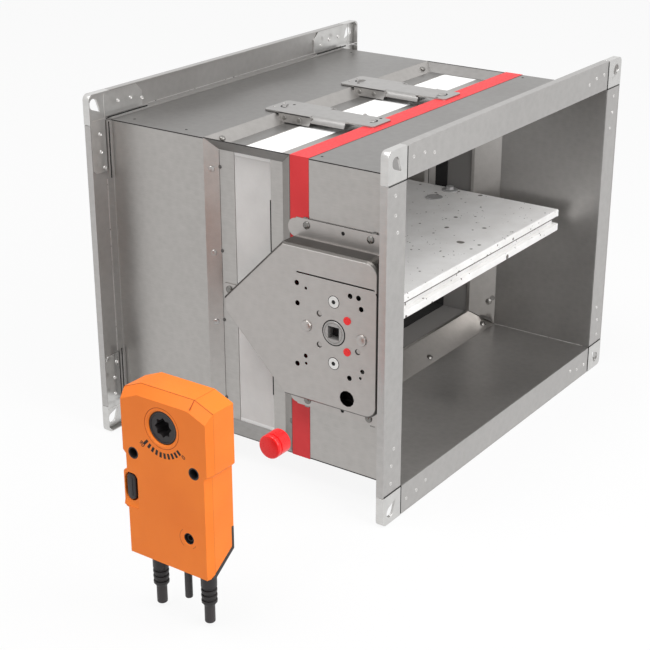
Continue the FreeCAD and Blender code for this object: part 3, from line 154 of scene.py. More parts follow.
class Finish(Graph):
    """One material and the few words needed to describe a surface."""

    def __init__(self, name):
        self.material = bpy.data.materials.new(name)
        self.material.use_nodes = True
        super().__init__(self.material.node_tree)
        self.shader = self.tree.nodes["Principled BSDF"]
        self.place = self.add("ShaderNodeTexCoord").outputs["Object"]

    def noise(self, grain_mm, detail=4, stretch=(1, 1, 1), roughness=0.5):
        """Cloudy noise whose blotches are about grain_mm across."""
        spread = self.add("ShaderNodeMapping", {"Vector": self.place, "Scale": stretch})
        return self.add("ShaderNodeTexNoise", {
            "Vector": spread.outputs[0], "Scale": 1 / (grain_mm * MM), "Detail": detail,
            "Roughness": roughness}).outputs["Fac"]

    def cells(self, cell_mm, output="Distance"):
        """Voronoi cells about cell_mm across."""
        return self.add("ShaderNodeTexVoronoi", {
            "Vector": self.place, "Scale": 1 / (cell_mm * MM)}).outputs[output]

    def grade(self, value, low, high, start=0.3, end=0.7):
        """Stretch a value between start and end to low..high."""
        return self.add("ShaderNodeMapRange", {
            "Value": value, "From Min": start, "From Max": end, "To Min": low,
            "To Max": high}).outputs["Result"]

    def mix(self, share, first, second):
        made = self.add("ShaderNodeMix", data_type="RGBA")
        self.fill(made, {0: share, 6: first, 7: second})
        return made.outputs[2]

    def surface(self, colour, metal, rough, specular=0.5, coat=0.0):
        self.fill(self.shader, {"Base Color": colour, "Metallic": metal, "Roughness": rough,
                                "Specular IOR Level": specular, "Coat Weight": coat})

    def bump(self, height, strength, depth_mm):
        made = self.add("ShaderNodeBump", {
            "Height": height, "Strength": strength, "Distance": depth_mm * MM})
        self.tree.links.new(made.outputs[0], self.shader.inputs["Normal"])


# %% [markdown]
# ## Zinc-coated steel sheet
# Hot-dip galvanised sheet: a soft grey metal with faint flowers where the zinc froze and
# fine lines from the rolls. The flowers on this sheet are small and the lines run along
# the duct. The top sheet is a darker copy and the inside sheet a lighter one: painted
# shade and light. The housing's wall gets a darker second tone as painted shade, in a
# band between two planes of its Object coordinates.

# %%
def band(m, axis, start, end, fade):
    """1 where the distance from the middle plane lies between start and end, in metres."""
    split = m.add("ShaderNodeSeparateXYZ", {0: m.place})
    distance = m.sum(split.outputs[axis], 0.0, "ABSOLUTE")
    rising = m.grade(distance, 0, 1, start, start + fade)
    return m.sum(rising, m.grade(distance, 1, 0, end - fade, end), "MULTIPLY")


def sheet_metal(name, light, dark, wall=None, rough=0.36, metal=0.92):
    m = Finish(name)
    flowers = m.cells(7)
    clouds = m.noise(110, detail=5)
    lines = m.noise(16, detail=3, stretch=(1.5, 18, 18))
    pattern = m.mix(0.35, m.mix(0.3, clouds, flowers), lines)
    tone = m.grade(pattern, 0, 1, 0.35, 0.65)
    colour = m.mix(tone, rgb(dark), rgb(light))
    # An optional band of a second, darker colour: painted shade.
    if wall:
        shade, axis, start, end, fade = wall
        colour = m.mix(band(m, axis, start, end, fade), colour, rgb(shade))
    m.surface(colour, metal, m.grade(clouds, rough - 0.05, rough + 0.08))
    m.bump(lines, 0.03, 0.4)
    return m.material


# Painted shade: the housing's wall and rim are darker, in a band of Y.
HOUSING_WALL_SHADE = ("#5d5a57", "Y", 0.2045, 0.2240, 0.0008)
SHEET_SIDE = sheet_metal("galvanised_sheet", "#b3b0ad", "#a8a5a2")
# A darker copy of the sheet for the top faces: painted shade.
SHEET_TOP_SHADED = sheet_metal("galvanised_sheet_top_shaded", "#918f8d", "#868482")
# A slightly lighter copy of the sheet for the faces seen inside the duct: painted light.
INNER_LIT = sheet_metal("galvanised_sheet_inside_lit", "#b6b4b2", "#a9a7a5", rough=0.37)
PROFILE = sheet_metal("rolled_profile_zinc", "#b8b6b4", "#adaba9")
CORNER = sheet_metal("pressed_corner_zinc", "#d2d1cf", "#c6c5c3", rough=0.3)
PRESSED = sheet_metal("drawn_housing_zinc", "#b3afac", "#aaa6a3", HOUSING_WALL_SHADE, 0.34)
BRACKET = sheet_metal("bracket_zinc", "#b2b0ae", "#a5a3a1", rough=0.34)
print("sheet finishes made")

# %% [markdown]
# ## Plated fittings
# Screws, shafts and cranks are zinc-plated steel. They are brighter than the sheet, with
# slight handling marks that vary the gloss. The screws of the photograph are dark in their
# recesses, so darker and duller finishes serve for them and for what lies in the shade.

# %%
def plated(name, light, dark, rough=0.3, metal=1.0):
    m = Finish(name)
    marks = m.noise(6, detail=4)
    m.surface(m.mix(m.grade(marks, 0, 1), rgb(dark), rgb(light)), metal,
              m.grade(marks, rough - 0.06, rough + 0.12))
    m.bump(marks, 0.05, 0.2)
    return m.material


PLATED = plated("zinc_plated_steel", "#e3e2e0", "#cfcdcb")
SCREW = plated("zinc_plated_screw", "#8a8885", "#6f6d6a", rough=0.25)
# Painted shade: the darker, less metallic grey of the walls inside the hub's socket.
SOCKET = plated("socket_wall_shade", "#8b8987", "#7a7876", rough=0.6, metal=0.3)
# Darker steel for the dark bolts, and painted shade for the shafts, cranks, bushes and bearing
# plate.
DULL = plated("dark_steel_and_shade", "#8f8d8a", "#787673", rough=0.42)
DISC = plated("blasted_zinc", "#bdbcbc", "#adacac", rough=0.55, metal=0.3)
HUB = plated("turned_steel_hub", "#a9a7a5", "#9b9997", rough=0.34, metal=0.85)
print("plated finishes made")

# %% [markdown]
# ## Fire board
# The white ring and the blade are calcium silicate board: chalky, pressed, faintly mottled.
# The blade's face is pitted, with grains up to three millimetres across; a Voronoi
# distance against a noise gives pits of many sizes at random places.

# %%
def fire_board(name, light, dark, inside, rough=0.9):
    """Board whose inner faces, towards the middle of the duct, are painted darker as shade."""
    m = Finish(name)
    chalk = m.noise(30, detail=6, roughness=0.6)
    face = m.mix(m.grade(chalk, 0, 1), rgb(dark), rgb(light))
    # Painted shade: faces inside the duct's opening take the darker inside colour.
    inner = m.sum(band(m, "Y", -0.01, 0.1875, 0.001), band(m, "Z", -0.01, 0.1375, 0.001),
                  "MULTIPLY")
    m.surface(m.mix(inner, face, rgb(inside)), 0.0, rough, specular=0.3)
    m.bump(m.noise(1.5, detail=3), 0.12, 0.3)
    return m.material


def pits(m, spacing_mm, share):
    """1 in sparse round pits, 0 between them."""
    size = m.noise(spacing_mm * 1.6, detail=2)
    near = m.sum(m.cells(spacing_mm), m.sum(size, 0.9, "MULTIPLY"))
    return m.grade(near, 1, 0, share, share + 0.05)


def pitted_board(name, light, dark, pit):
    m = Finish(name)
    chalk = m.noise(40, detail=6, roughness=0.6)
    base = m.mix(m.grade(chalk, 0, 1), rgb(dark), rgb(light))
    marks = m.sum(pits(m, 14, 0.5), pits(m, 5, 0.48), "MAXIMUM")
    m.surface(m.mix(marks, base, rgb(pit)), 0.0, 0.9, specular=0.3)
    m.bump(m.sum(1.0, marks, "SUBTRACT"), 0.35, 0.8)
    return m.material


WHITE_BOARD = fire_board("calcium_silicate_board", "#f6f6f5", "#ecebea", "#7d7b79")
# The side boards are a darker copy of the white board: painted shade.
SIDE_BOARD_SHADED = fire_board("calcium_silicate_board_side_shaded", "#dedcda", "#d3d1cf", "#7d7b79")
BLADE_BOARD = pitted_board("pitted_blade_board", "#f3f2f1", "#e4e2e0", "#76726e")
print("board finishes made")

# %% [markdown]
# ## Plastics, film and rubber
# The actuator's shells are glass-filled nylon with an eroded grain, the clamp and glands
# the same in black, the capsule glossy red ABS, the band a red vinyl film and the seal a
# dark strip that swells in a fire. The real grain is about a tenth of a millimetre; it is
# drawn a little coarser so that it still breaks up the gloss in a render.

# %%
def moulded(name, light, dark, rough=0.45, grain_mm=1.1, coat=0.0, strength=0.12):
    m = Finish(name)
    clouds = m.noise(40, detail=3)
    grains = m.noise(grain_mm, detail=2)
    m.surface(m.mix(m.grade(clouds, 0, 1), rgb(dark), rgb(light)), 0.0,
              m.grade(grains, rough - 0.05, rough + 0.07), specular=0.4, coat=coat)
    m.bump(grains, strength, 0.2)
    return m.material


RED_FILM = moulded("red_vinyl_film", "#e0373b", "#d63034", rough=0.5, grain_mm=2, strength=0.04)
RED_CAP = moulded("red_abs", "#f4181c", "#ec1418", rough=0.3, coat=0.2, strength=0.02)
ORANGE = moulded("orange_nylon", "#f78122", "#f17a1d", rough=0.5, grain_mm=0.9)
# Painted shade: a darker orange for the shells' grooves, creases and joint lines.
SHADE = moulded("orange_nylon_groove_shade", "#b9551a", "#b04f17", rough=0.6)
BLACK = moulded("black_nylon", "#2a2728", "#232021", rough=0.42)
INK = moulded("black_print", "#120e0c", "#0d0a08", rough=0.6, strength=0.02)
CABLE = moulded("cable_sheath", "#3b3738", "#332f30", rough=0.5)
SEAL = moulded("swelling_strip", "#1e1d1d", "#151414", rough=0.8, grain_mm=2.5, strength=0.3)
# Dark joints, holes and slits, and painted shade in hollows, under edges and along crests.
GAP = moulded("dark_gap_and_shade", "#1b1a1a", "#161515", rough=0.8)
# Painted shade: a soft grey for shaded lines, creases, hollows and small nubs.
SOFT_SHADE = moulded("grey_shade", "#5f5d5b", "#575553", rough=0.7)
print("finishes made:", len(bpy.data.materials))

# %% [markdown]
# ## Dressing of the solids
# The solids come as loose triangles. A weld joins them, a planar decimate gathers flat
# areas into single faces and a small bevel eases the edges, so that folds and moulded
# corners catch the light. All three are modifiers: the mesh itself stays as packed.

# %%
FLAT = math.radians(1)
SHARP = math.radians(30)
WELD = 0.00001


def ease_edges(thing, width, segments=2):
    bevel = thing.modifiers.new("ease", "BEVEL")
    bevel.width = width
    bevel.segments = segments
    bevel.limit_method = "ANGLE"
    bevel.angle_limit = SHARP
    bevel.harden_normals = True


def dress(name, material, ease):
    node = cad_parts[name]
    node.data.materials.clear()
    node.data.materials.append(material)
    weld = node.modifiers.new("weld", "WELD")
    weld.merge_threshold = WELD
    flats = node.modifiers.new("flats", "DECIMATE")
    flats.decimate_type = "DISSOLVE"
    flats.angle_limit = FLAT
    if ease:
        ease_edges(node, ease)


ENDS = ("front", "rear")
STRIPS = ("top", "bottom", "mechanism_side", "far_side")
BRACKETS = ["top_bracket_near", "top_bracket_far", "bottom_bracket_near", "bottom_bracket_far"]
DRESS = {
    SHEET_SIDE: ["front_sleeve_mechanism_side", "rear_sleeve_mechanism_side",
                 "rear_sleeve_far_side", "rear_sleeve_bottom", "front_collar", "rear_collar"],
    INNER_LIT: ["front_sleeve_far_side", "front_sleeve_bottom"],
    SHEET_TOP_SHADED: ["front_sleeve_top", "rear_sleeve_top"],
    PROFILE: [end + "_flange_" + side for end in ENDS for side in STRIPS],
    CORNER: ["front_corner_cleats", "rear_corner_cleats"],
    BRACKET: BRACKETS,
    PRESSED: ["mechanism_housing"],
    PLATED: ["bearing_plate_screws", "square_spindle"],
    DISC: ["blade_clamp_discs", "blade_clamp_bolts"],
    SCREW: ["bracket_screws", "housing_screws"],
    HUB: ["drive_hub"],
    DULL: ["drive_bearing_plate", "drive_side_bush", "far_side_bush", "blade_drive_shaft",
           "blade_pivot_shaft", "blade_crank", "drive_crank", "coupling_rod"],
    WHITE_BOARD: ["fire_board_top", "fire_board_bottom"],
    SIDE_BOARD_SHADED: ["fire_board_mechanism_side", "fire_board_far_side"],
    BLADE_BOARD: ["blade_upper_board", "blade_core_board", "blade_lower_board"],
    RED_FILM: ["marking_band"],
    RED_CAP: ["blanking_plugs", "trip_capsule"],
    ORANGE: ["actuator_cover", "actuator_case"],
    BLACK: ["actuator_base", "cable_glands", "drive_clamp", "release_lever"],
    CABLE: ["cable_stubs"],
    SEAL: ["seal_strip"],
}
COMMON_EASE = 0.0003
OWN_EASE = {"front_collar": 0, "rear_collar": 0, "marking_band": 0.00008,
            "seal_strip": 0.0002, "mechanism_housing": 0.0007, "actuator_cover": 0.0007,
            "actuator_case": 0.0007, "blanking_plugs": 0.0001}

for material, names in DRESS.items():
    for name in names:
        dress(name, material, OWN_EASE.get(name, COMMON_EASE))
print("solids dressed:", sum(len(names) for names in DRESS.values()))

# %% [markdown]
# ## Words for mesh pieces
# A Form gathers closed solids in millimetres: a loft between rings of points, an outline
# pushed along an axis, or a profile turned round one. Everything else on the damper is
# one of these three. When the form is complete, it becomes a named piece in metres with
# its normals recalculated, its sharp edges marked and its body, slot and solids declared.

# %%
class Form:
    """Closed solids in millimetres, gathered until they become one piece."""

    def __init__(self):
        self.mesh = bmesh.new()

    def loft(self, rings, closed=False):
        """Join rings of equally many points in order; cap the ends unless the loft is closed."""
        made = [[self.mesh.verts.new(Vector(p) * MM) for p in ring] for ring in rings]
        pairs = list(zip(made, made[1:])) + ([(made[-1], made[0])] if closed else [])
        for low, high in pairs:
            for i in range(len(low)):
                j = (i + 1) % len(low)
                self.mesh.faces.new((low[i], low[j], high[j], high[i]))
        if not closed:
            self.mesh.faces.new(list(reversed(made[0])))
            self.mesh.faces.new(made[-1])
        return self

    def push(self, outline, axis, start, end):
        """Push an outline along an axis; its points are the other two coordinates, in order."""
        k = "xyz".index(axis)
        return self.loft([[(*p[:k], level, *p[k:]) for p in map(tuple, outline)]
                          for level in (start, end)])

    def turn(self, profile, axis, centre, steps=48, closed=False, arc=None):
        """Turn (radius, height) points about an axis through centre, which gives the other two."""
        k = "xyz".index(axis)
        first, last = arc or (0, 360)
        count = steps if arc is None else steps + 1
        angles = [math.radians(first + (last - first) * i / steps) for i in range(count)]
        rings = []
        for radius, height in profile:
            flat = [(centre[0] + radius * math.cos(a), centre[1] + radius * math.sin(a))
                    for a in angles]
            rings.append([(*p[:k], height, *p[k:]) for p in flat])
        return self.loft(rings, closed)

    def ring(self, centre, inner, outer, deep, top, steps=64):
        """A square-edged ring round a Y axis, from one level to another."""
        profile = [(inner, deep), (inner, top), (outer, top), (outer, deep)]
        return self.turn(profile, "y", centre, steps, closed=True)

    def bar(self, start, end, out, width, sink=0.3, rise=0.1):
        """A straight strip that lies on a surface which faces out."""
        start, end, out = Vector(start), Vector(end), Vector(out).normalized()
        side = (end - start).cross(out).normalized() * width / 2
        section = [side - out * sink, side + out * rise, -side + out * rise, -side - out * sink]
        return self.loft([[p + s for s in section] for p in (start, end)])

    def mirrored(self, *signs):
        """Copies of all that is in the form, turned over by the signs of (x, y, z)."""
        source = self.mesh.copy()
        flat = bpy.data.meshes.new("copy")
        for sign in signs:
            turned = source.copy()
            bmesh.ops.scale(turned, vec=sign, verts=turned.verts)
            turned.to_mesh(flat)
            self.mesh.from_mesh(flat)
            turned.free()
        source.free()
        bpy.data.meshes.remove(flat)
        return self


def rectangle(u0, u1, v0, v1):
    return [(u0, v0), (u1, v0), (u1, v1), (u0, v1)]


def quarter_round(radius, level, edge):
    """The (radius, height) points of the rounded edge where a turned form ends at a level."""
    return [(radius - edge + edge * math.cos(math.radians(t)),
             level + edge - edge * math.sin(math.radians(t))) for t in range(0, 91, 15)]


def finish_mesh(mesh, name, material):
    """A bmesh as an object of one material, smooth but for its sharp edges."""
    bmesh.ops.recalc_face_normals(mesh, faces=mesh.faces)
    for face in mesh.faces:
        face.smooth = True
        face.material_index = 0
    for edge in mesh.edges:
        edge.smooth = edge.is_manifold and edge.calc_face_angle(0) < SHARP
    data = bpy.data.meshes.new(name)
    mesh.to_mesh(data)
    mesh.free()
    data.materials.append(material)
    thing = bpy.data.objects.new(name, data)
    bpy.context.scene.collection.objects.link(thing)
    return thing


def declare(thing, body, slot, replaces=()):
    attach(thing, body)
    if replaces:
        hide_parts(*replaces)
    print("piece", thing.name, "on", body, "as", slot)
    return thing


def piece(form, name, material, body, slot, ease=0.0, replaces=()):
    thing = finish_mesh(form.mesh, name, material)
    if ease:
        ease_edges(thing, ease * MM)
    return declare(thing, body, slot, replaces)


# %% [markdown]
# ## Carving a copy of a solid
# A moulded shell is mostly its solid with finer cuts in it. A copy of the solid's mesh is
# merged, its flat areas are joined, and a Boolean takes the cutters away. The solid itself
# stays as packed, and the copy stands for it.

# %%
FINE_WELD = 0.000005


def copy_of(name):
    mesh = bmesh.new()
    mesh.from_mesh(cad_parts[name].data)
    bmesh.ops.remove_doubles(mesh, verts=mesh.verts, dist=WELD)
    return mesh


def baked(thing):
    """The mesh of an object with its modifiers applied."""
    graph = bpy.context.evaluated_depsgraph_get()
    graph.update()
    return bpy.data.meshes.new_from_object(thing.evaluated_get(graph))


def carve(mesh, cutter, name, material):
    """The bmesh less the cutter, as an object with its flat areas joined."""
    body = finish_mesh(mesh, name, material)
    tool = finish_mesh(cutter.mesh, name + "_tool", material)
    cut = body.modifiers.new("cut", "BOOLEAN")
    cut.operation = "DIFFERENCE"
    cut.solver = "EXACT"
    cut.object = tool
    result = bmesh.new()
    result.from_mesh(baked(body))
    for spent in (body, tool):
        bpy.data.objects.remove(spent)
    bmesh.ops.remove_doubles(result, verts=result.verts, dist=FINE_WELD)
    bmesh.ops.dissolve_limit(result, angle_limit=FLAT, verts=result.verts, edges=result.edges)
    return finish_mesh(result, name, material)


# %% [markdown]
# ## Fittings that repeat
# Screws, rivets and pressed joints repeat all over the sheet. Each kind is modelled once,
# standing on its seat with +Z outwards, and a small Geometry Nodes tree puts a copy on
# every point of a mesh, turned to the way that point faces and spun at random, since
# nobody lines up screw slots. The result is baked into one plain mesh for each body.

# %%
FITTING_INPUTS = (("Points", "Geometry"), ("Pattern", "Object"), ("Finish", "Material"),
                  ("Size", "Float"), ("Seed", "Int"))
SPIN_SEED = 7


def fitting_tree():
    tree = bpy.data.node_groups.new("fittings_on_points", "GeometryNodeTree")
    for name, kind in FITTING_INPUTS:
        tree.interface.new_socket(name, in_out="INPUT", socket_type="NodeSocket" + kind)
    tree.interface.new_socket("Fittings", in_out="OUTPUT", socket_type="NodeSocketGeometry")
    g = Graph(tree)
    enter = g.add("NodeGroupInput").outputs
    pattern = g.add("GeometryNodeObjectInfo", {"Object": enter["Pattern"]})
    facing = g.add("GeometryNodeInputNamedAttribute", {"Name": "facing"},
                   data_type="FLOAT_VECTOR")
    align = g.add("FunctionNodeAlignRotationToVector",
                  {"Vector": facing.outputs["Attribute"]}, axis="Z")
    spin = g.add("FunctionNodeRandomValue", {"Max": (0, 0, 2 * math.pi), "Seed": enter["Seed"]},
                 data_type="FLOAT_VECTOR")
    turn = g.add("FunctionNodeRotateRotation", {
        "Rotation": align.outputs["Rotation"], "Rotate By": spin.outputs["Value"]},
        rotation_space="LOCAL")
    put = g.add("GeometryNodeInstanceOnPoints", {
        "Points": enter["Points"], "Instance": pattern.outputs["Geometry"],
        "Rotation": turn.outputs["Rotation"], "Scale": enter["Size"]})
    real = g.add("GeometryNodeRealizeInstances", {"Geometry": put.outputs["Instances"]})
    paint = g.add("GeometryNodeSetMaterial", {
        "Geometry": real.outputs["Geometry"], "Material": enter["Finish"]})
    g.add("NodeGroupOutput", {"Fittings": paint.outputs["Geometry"]})
    return tree


FITTINGS = fitting_tree()


def fit(name, pattern, places, material, body, slot, size=1.0, replaces=()):
    """Put a pattern on places, each (x, y, z) in millimetres with the way it faces."""
    points = bpy.data.meshes.new(name)
    points.from_pydata([Vector(place) * MM for place, _ in places], [], [])
    ways = points.attributes.new("facing", "FLOAT_VECTOR", "POINT")
    for item, (_, way) in zip(ways.data, places):
        item.vector = Vector(way).normalized()
    holder = bpy.data.objects.new(name + "_points", points)
    bpy.context.scene.collection.objects.link(holder)
    spread = holder.modifiers.new("spread", "NODES")
    spread.node_group = FITTINGS
    values = {"Pattern": pattern, "Finish": material, "Size": size, "Seed": SPIN_SEED}
    for socket in FITTINGS.interface.items_tree:
        if socket.name in values:
            spread[socket.identifier] = values[socket.name]
    result = bmesh.new()
    result.from_mesh(baked(holder))
    bpy.data.objects.remove(holder)
    thing = finish_mesh(result, name, material)
    print(name, "has", len(places), "fittings")
    return declare(thing, body, slot, replaces)


def with_mirrored(places, *signs):
    """Places for fittings, then their copies turned over by the signs of (x, y, z)."""
    return list(places) + [((sx * x, sy * y, sz * z), (sx * a, sy * b, sz * c))
                           for sx, sy, sz in signs for (x, y, z), (a, b, c) in places]


# %% [markdown]
# ## The patterns
# A pan-head screw with a cross recess, a drive screw with a hexagon socket, a domed rivet
# and the little crater that a pressed joint leaves in sheet. Recesses are cut, so they
# are dark of themselves.

# %%
def cross_cutter(half_length, half_width, bottom, top):
    cutter = Form()
    for u, v in ((half_length, half_width), (half_width, half_length)):
        cutter.push(rectangle(-u, u, -v, v), "z", bottom, top)
    return cutter


def polygon(sides, radius):
    turns = [2 * math.pi * i / sides for i in range(sides)]
    return [(radius * math.cos(a), radius * math.sin(a)) for a in turns]


def pan_screw():
    head = Form().turn([(3.7, -0.6), (3.9, 0.1), (3.7, 1.0), (2.9, 1.8), (1.6, 2.3), (0.3, 2.4)],
                       "z", (0, 0), 24)
    return carve(head.mesh, cross_cutter(2.3, 0.55, 0.7, 4), "pan_screw", SCREW)


def drive_screw():
    head = Form().turn([(5.0, -0.5), (5.5, 0.0), (5.5, 0.25), (5.2, 0.45), (0.3, 0.45)],
                       "z", (0, 0), 48)
    return carve(head.mesh, Form().push(polygon(6, 2.1), "z", -0.3, 2), "drive_screw", PLATED)


def pattern_of(name, profile, steps):
    return finish_mesh(Form().turn(profile, "z", (0, 0), steps).mesh, name, PLATED)


PAN_SCREW = pan_screw()
DRIVE_SCREW = drive_screw()
RIVET = pattern_of("rivet", [(3.0, -0.6), (3.0, 0.5), (2.7, 0.9), (1.5, 1.15), (0.3, 1.2)], 24)
CLINCH = pattern_of("pressed_joint", [(2.5, -0.5), (2.1, 0.45), (1.6, 0.6), (1.15, 0.35),
                                      (0.9, -0.3), (0.2, -0.35)], 18)
DOME = pattern_of("dome", [(5.7, -0.4), (5.6, 0.7), (5.1, 1.5), (3.8, 2.1), (2.0, 2.45),
                           (0.3, 2.5)], 40)
HEXAGON = pattern_of("hexagon", [(2.2, -0.3), (2.2, 0.5), (0.3, 0.5)], 6)
DOT = pattern_of("dot", [(1.0, -0.3), (1.0, 0.08), (0.3, 0.1)], 16)
PATTERNS = (PAN_SCREW, DRIVE_SCREW, RIVET, CLINCH, DOME, HEXAGON, DOT)
print("patterns:", [thing.name for thing in PATTERNS])

# %% [markdown]
# ## Where things are
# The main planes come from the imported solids, so the looks follow them. The duct is alike
# on its four long corners, so much is drawn once, at the near top corner, and turned over
# to the far side, to the underside and to both.

# %%
def corner(name, which):
    """A corner of a solid's box in millimetres: 0 the low one, 1 the high one."""
    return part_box(name)[which] / MM


def middle_and_half(name, axis):
    """The middle of a solid's box along an axis, and half its length there."""
    low, high = (getattr(corner(name, which), axis) for which in (0, 1))
    return (high + low) / 2, (high - low) / 2


RECESS_WALL = 191.6
SIDE = -corner("rear_sleeve_mechanism_side", 0).y
TOP = corner("rear_sleeve_top", 1).z
END = corner("front_corner_cleats", 1).x
WAIST_REAR = corner("rear_collar", 0).x
WAIST_FRONT = corner("front_collar", 1).x
WAIST_DEPTH = SIDE - RECESS_WALL
RECESS_SIDE = SIDE - WAIST_DEPTH
RECESS_TOP = TOP - WAIST_DEPTH
PLATE = corner("mechanism_housing", 0).y
PLATE_FRONT = corner("mechanism_housing", 1).x
DRIVE_X = middle_and_half("drive_hub", "x")[0]
OUT = (0, -1, 0)
FAR_SIDE, UNDERSIDE, FAR_UNDERSIDE = MIRRORS = ((1, -1, 1), (1, 1, -1), (1, -1, -1))
print("drive axis at x =", round(DRIVE_X, 2), "plate at y =", round(PLATE, 2))

# %% [markdown]
# ## Corner ridges of the waist
# Between the recesses for the fire board, each long corner of the duct keeps its full
# height: a folded ridge with a dark strip along its crest, painted shadow under the
# sheet's edge. A triangle pushed along the duct makes it, mirrored to all four corners.

# %%
RIDGE_REACH = 2.3


def corner_ridges():
    crest = (-SIDE, TOP)
    outline = [crest, (-RECESS_SIDE - 0.2, RECESS_TOP - RIDGE_REACH),
               (-RECESS_SIDE + 1, RECESS_TOP - 1), (-RECESS_SIDE + RIDGE_REACH, RECESS_TOP + 0.2)]
    ridges = Form().push(outline, "x", WAIST_REAR + 0.2, WAIST_FRONT - 0.2)
    ridges.mirrored(*MIRRORS)
    piece(ridges, "waist_corner_ridges", SHEET_TOP_SHADED, "duct", "galvanised_steel")
    # Painted shadow: a dark strip along each crest, under the sheet's edge.
    crests = Form().bar((WAIST_REAR, -SIDE + 0.35, TOP - 0.35),
                        (WAIST_FRONT, -SIDE + 0.35, TOP - 0.35), (0, -1, 1), 0.9, 0.2, 0.15)
    crests.mirrored(*MIRRORS)
    piece(crests, "waist_crest_lines", GAP, "duct", "galvanised_steel")


corner_ridges()

# %% [markdown]
# ## Seams of the sheet
# Where two sheets meet, a thin dark gap shows: the long corner seams of both sleeves and
# the joint beside the fire board are narrow dark strips that lie on the sheet. Narrow
# dark strips at the edges of the red band and at the creases of the rear fold are painted
# shade. Broader strips of darker sheet on the floor of the recess, above and below,
# between the rear fold and the board, are painted shade too, and bright strips in the
# inner corners of the front sleeve are painted highlights.

# %%
FOLD_END = -39.4
BAND_EDGE = WAIST_FRONT + 21.2
FLANGE_ROOM = 8.5
WAIST_BOARD = corner("fire_board_top", 1).x
SEAM_DOTS = ((-147.4, -188), (-80.9, -188.9), (78.2, -189.5), (-147.4, 188), (78.2, 189.5))


def long_seams():
    seams = Form()
    for start, end in ((-END + FLANGE_ROOM, WAIST_REAR), (BAND_EDGE, END - FLANGE_ROOM)):
        seams.bar((start, -SIDE, TOP - 0.8), (end, -SIDE, TOP - 0.8), OUT, 1.0, 0.2, 0.06)
    seams.mirrored(*MIRRORS)
    piece(seams, "long_corner_seams", GAP, "duct", "galvanised_steel")
    # Painted shade: dark strips along the edge of the red band on top and at the step in front of
    # it on the sides.
    lines = Form().bar((BAND_EDGE, -SIDE + 1, TOP), (BAND_EDGE, SIDE - 1, TOP), (0, 0, 1),
                       0.8, 0.2, 0.08)
    edge = WAIST_FRONT - 0.5
    for side in (-1, 1):
        lines.bar((edge, side * SIDE, -TOP + 1), (edge, side * SIDE, TOP - 1), (0, side, 0),
                  0.9, 0.2, 0.06)
    piece(lines, "band_edge_lines", SOFT_SHADE, "duct", "galvanised_steel")
    dots = with_mirrored([((x, y, TOP), (0, 0, 1)) for x, y in SEAM_DOTS], FAR_UNDERSIDE)
    fit("seam_dots", DOT, dots, GAP, "duct", "galvanised_steel", size=1.3)
    # Painted highlights: bright strips along the inner corners of the front sleeve.
    folds = Form().bar((WAIST_FRONT + 1, SIDE - 1.2, -TOP + 1.2), (END - 9, SIDE - 1.2, -TOP + 1.2),
                       (0, -1, 1), 0.9, 0.4, 0.2)
    folds.mirrored(*MIRRORS)
    piece(folds, "inner_corner_folds", PLATED, "duct", "galvanised_steel")


def fold_creases():
    """Painted shade: dark lines where the rear fold meets the bottom of the recess."""
    lines = Form()
    for side in (-1, 1):
        lines.bar((FOLD_END, side * RECESS_SIDE, -RECESS_TOP + 3),
                  (FOLD_END, side * RECESS_SIDE, RECESS_TOP - 3), (0, side, 0), 1.0, 0.3, 0.12)
        lines.bar((FOLD_END, -RECESS_SIDE + 3, side * RECESS_TOP),
                  (FOLD_END, RECESS_SIDE - 3, side * RECESS_TOP), (0, 0, side), 1.0, 0.3, 0.12)
    piece(lines, "fold_creases", SOFT_SHADE, "duct", "galvanised_steel")


def board_gaps():
    """The joint where the side boards meet the front collar."""
    gaps = Form()
    x = -WAIST_REAR - 29.8
    for side in (-1, 1):
        gaps.bar((x, side * RECESS_SIDE, -100), (x, side * RECESS_SIDE, 100), (0, side, 0),
                 1.1, 0.3, 0.05)
    piece(gaps, "fire_board_gaps", GAP, "duct", "galvanised_steel")


def recess_floor():
    """Strips of darker sheet on the rear collar between its wall and the board, above and below:
    painted shade.
    """
    start, end, reach = FOLD_END + 0.5, -WAIST_BOARD - 0.2, RECESS_SIDE - 0.6
    strips = Form().push(rectangle(start, end, -reach, reach), "z",
                         RECESS_TOP - 0.3, RECESS_TOP + 0.2)
    strips.mirrored(UNDERSIDE)
    piece(strips, "recess_floor_strips", SHEET_TOP_SHADED, "duct", "galvanised_steel")


long_seams()
fold_creases()
board_gaps()
recess_floor()

# %% [markdown]
# ## Rivets and bolts of the waist
# Four rivets hold each side of the rear fold, with small nubs in front of them. Small bolts
# sit near the ends of the fold, above and below, and one on each side behind the red band.

# %%
FOLD_X = -45.0
FOLD_Y = -196.4
FOLD_FACE = (0.64, -0.77, 0)
RIVET_ROWS = (120, 36, -36, -120)


def duct_rivets():
    rivets = with_mirrored([((FOLD_X, FOLD_Y, z), FOLD_FACE) for z in RIVET_ROWS], FAR_SIDE)
    fit("fold_rivets", RIVET, rivets, BRACKET, "duct", "galvanised_steel")
    # The small nubs take the soft grey of painted shade.
    nubs = with_mirrored([((-38.5, -RECESS_SIDE, z + 2), OUT) for z in RIVET_ROWS], FAR_SIDE)
    fit("fold_nubs", RIVET, nubs, SOFT_SHADE, "duct", "bright_steel", size=0.6)
    bolts = with_mirrored([((-44, y, 146.5), (0.45, 0, 0.9)) for y in (-180, 180)], UNDERSIDE)
    fit("fold_bolts", PAN_SCREW, bolts, DULL, "duct", "bright_steel", size=0.8)
    small = with_mirrored([((48.3, -SIDE + 2.5, -117.3), (-0.5, -0.85, 0))], FAR_SIDE)
    fit("band_bolts", PAN_SCREW, small, DULL, "duct", "bright_steel", size=0.8)


duct_rivets()

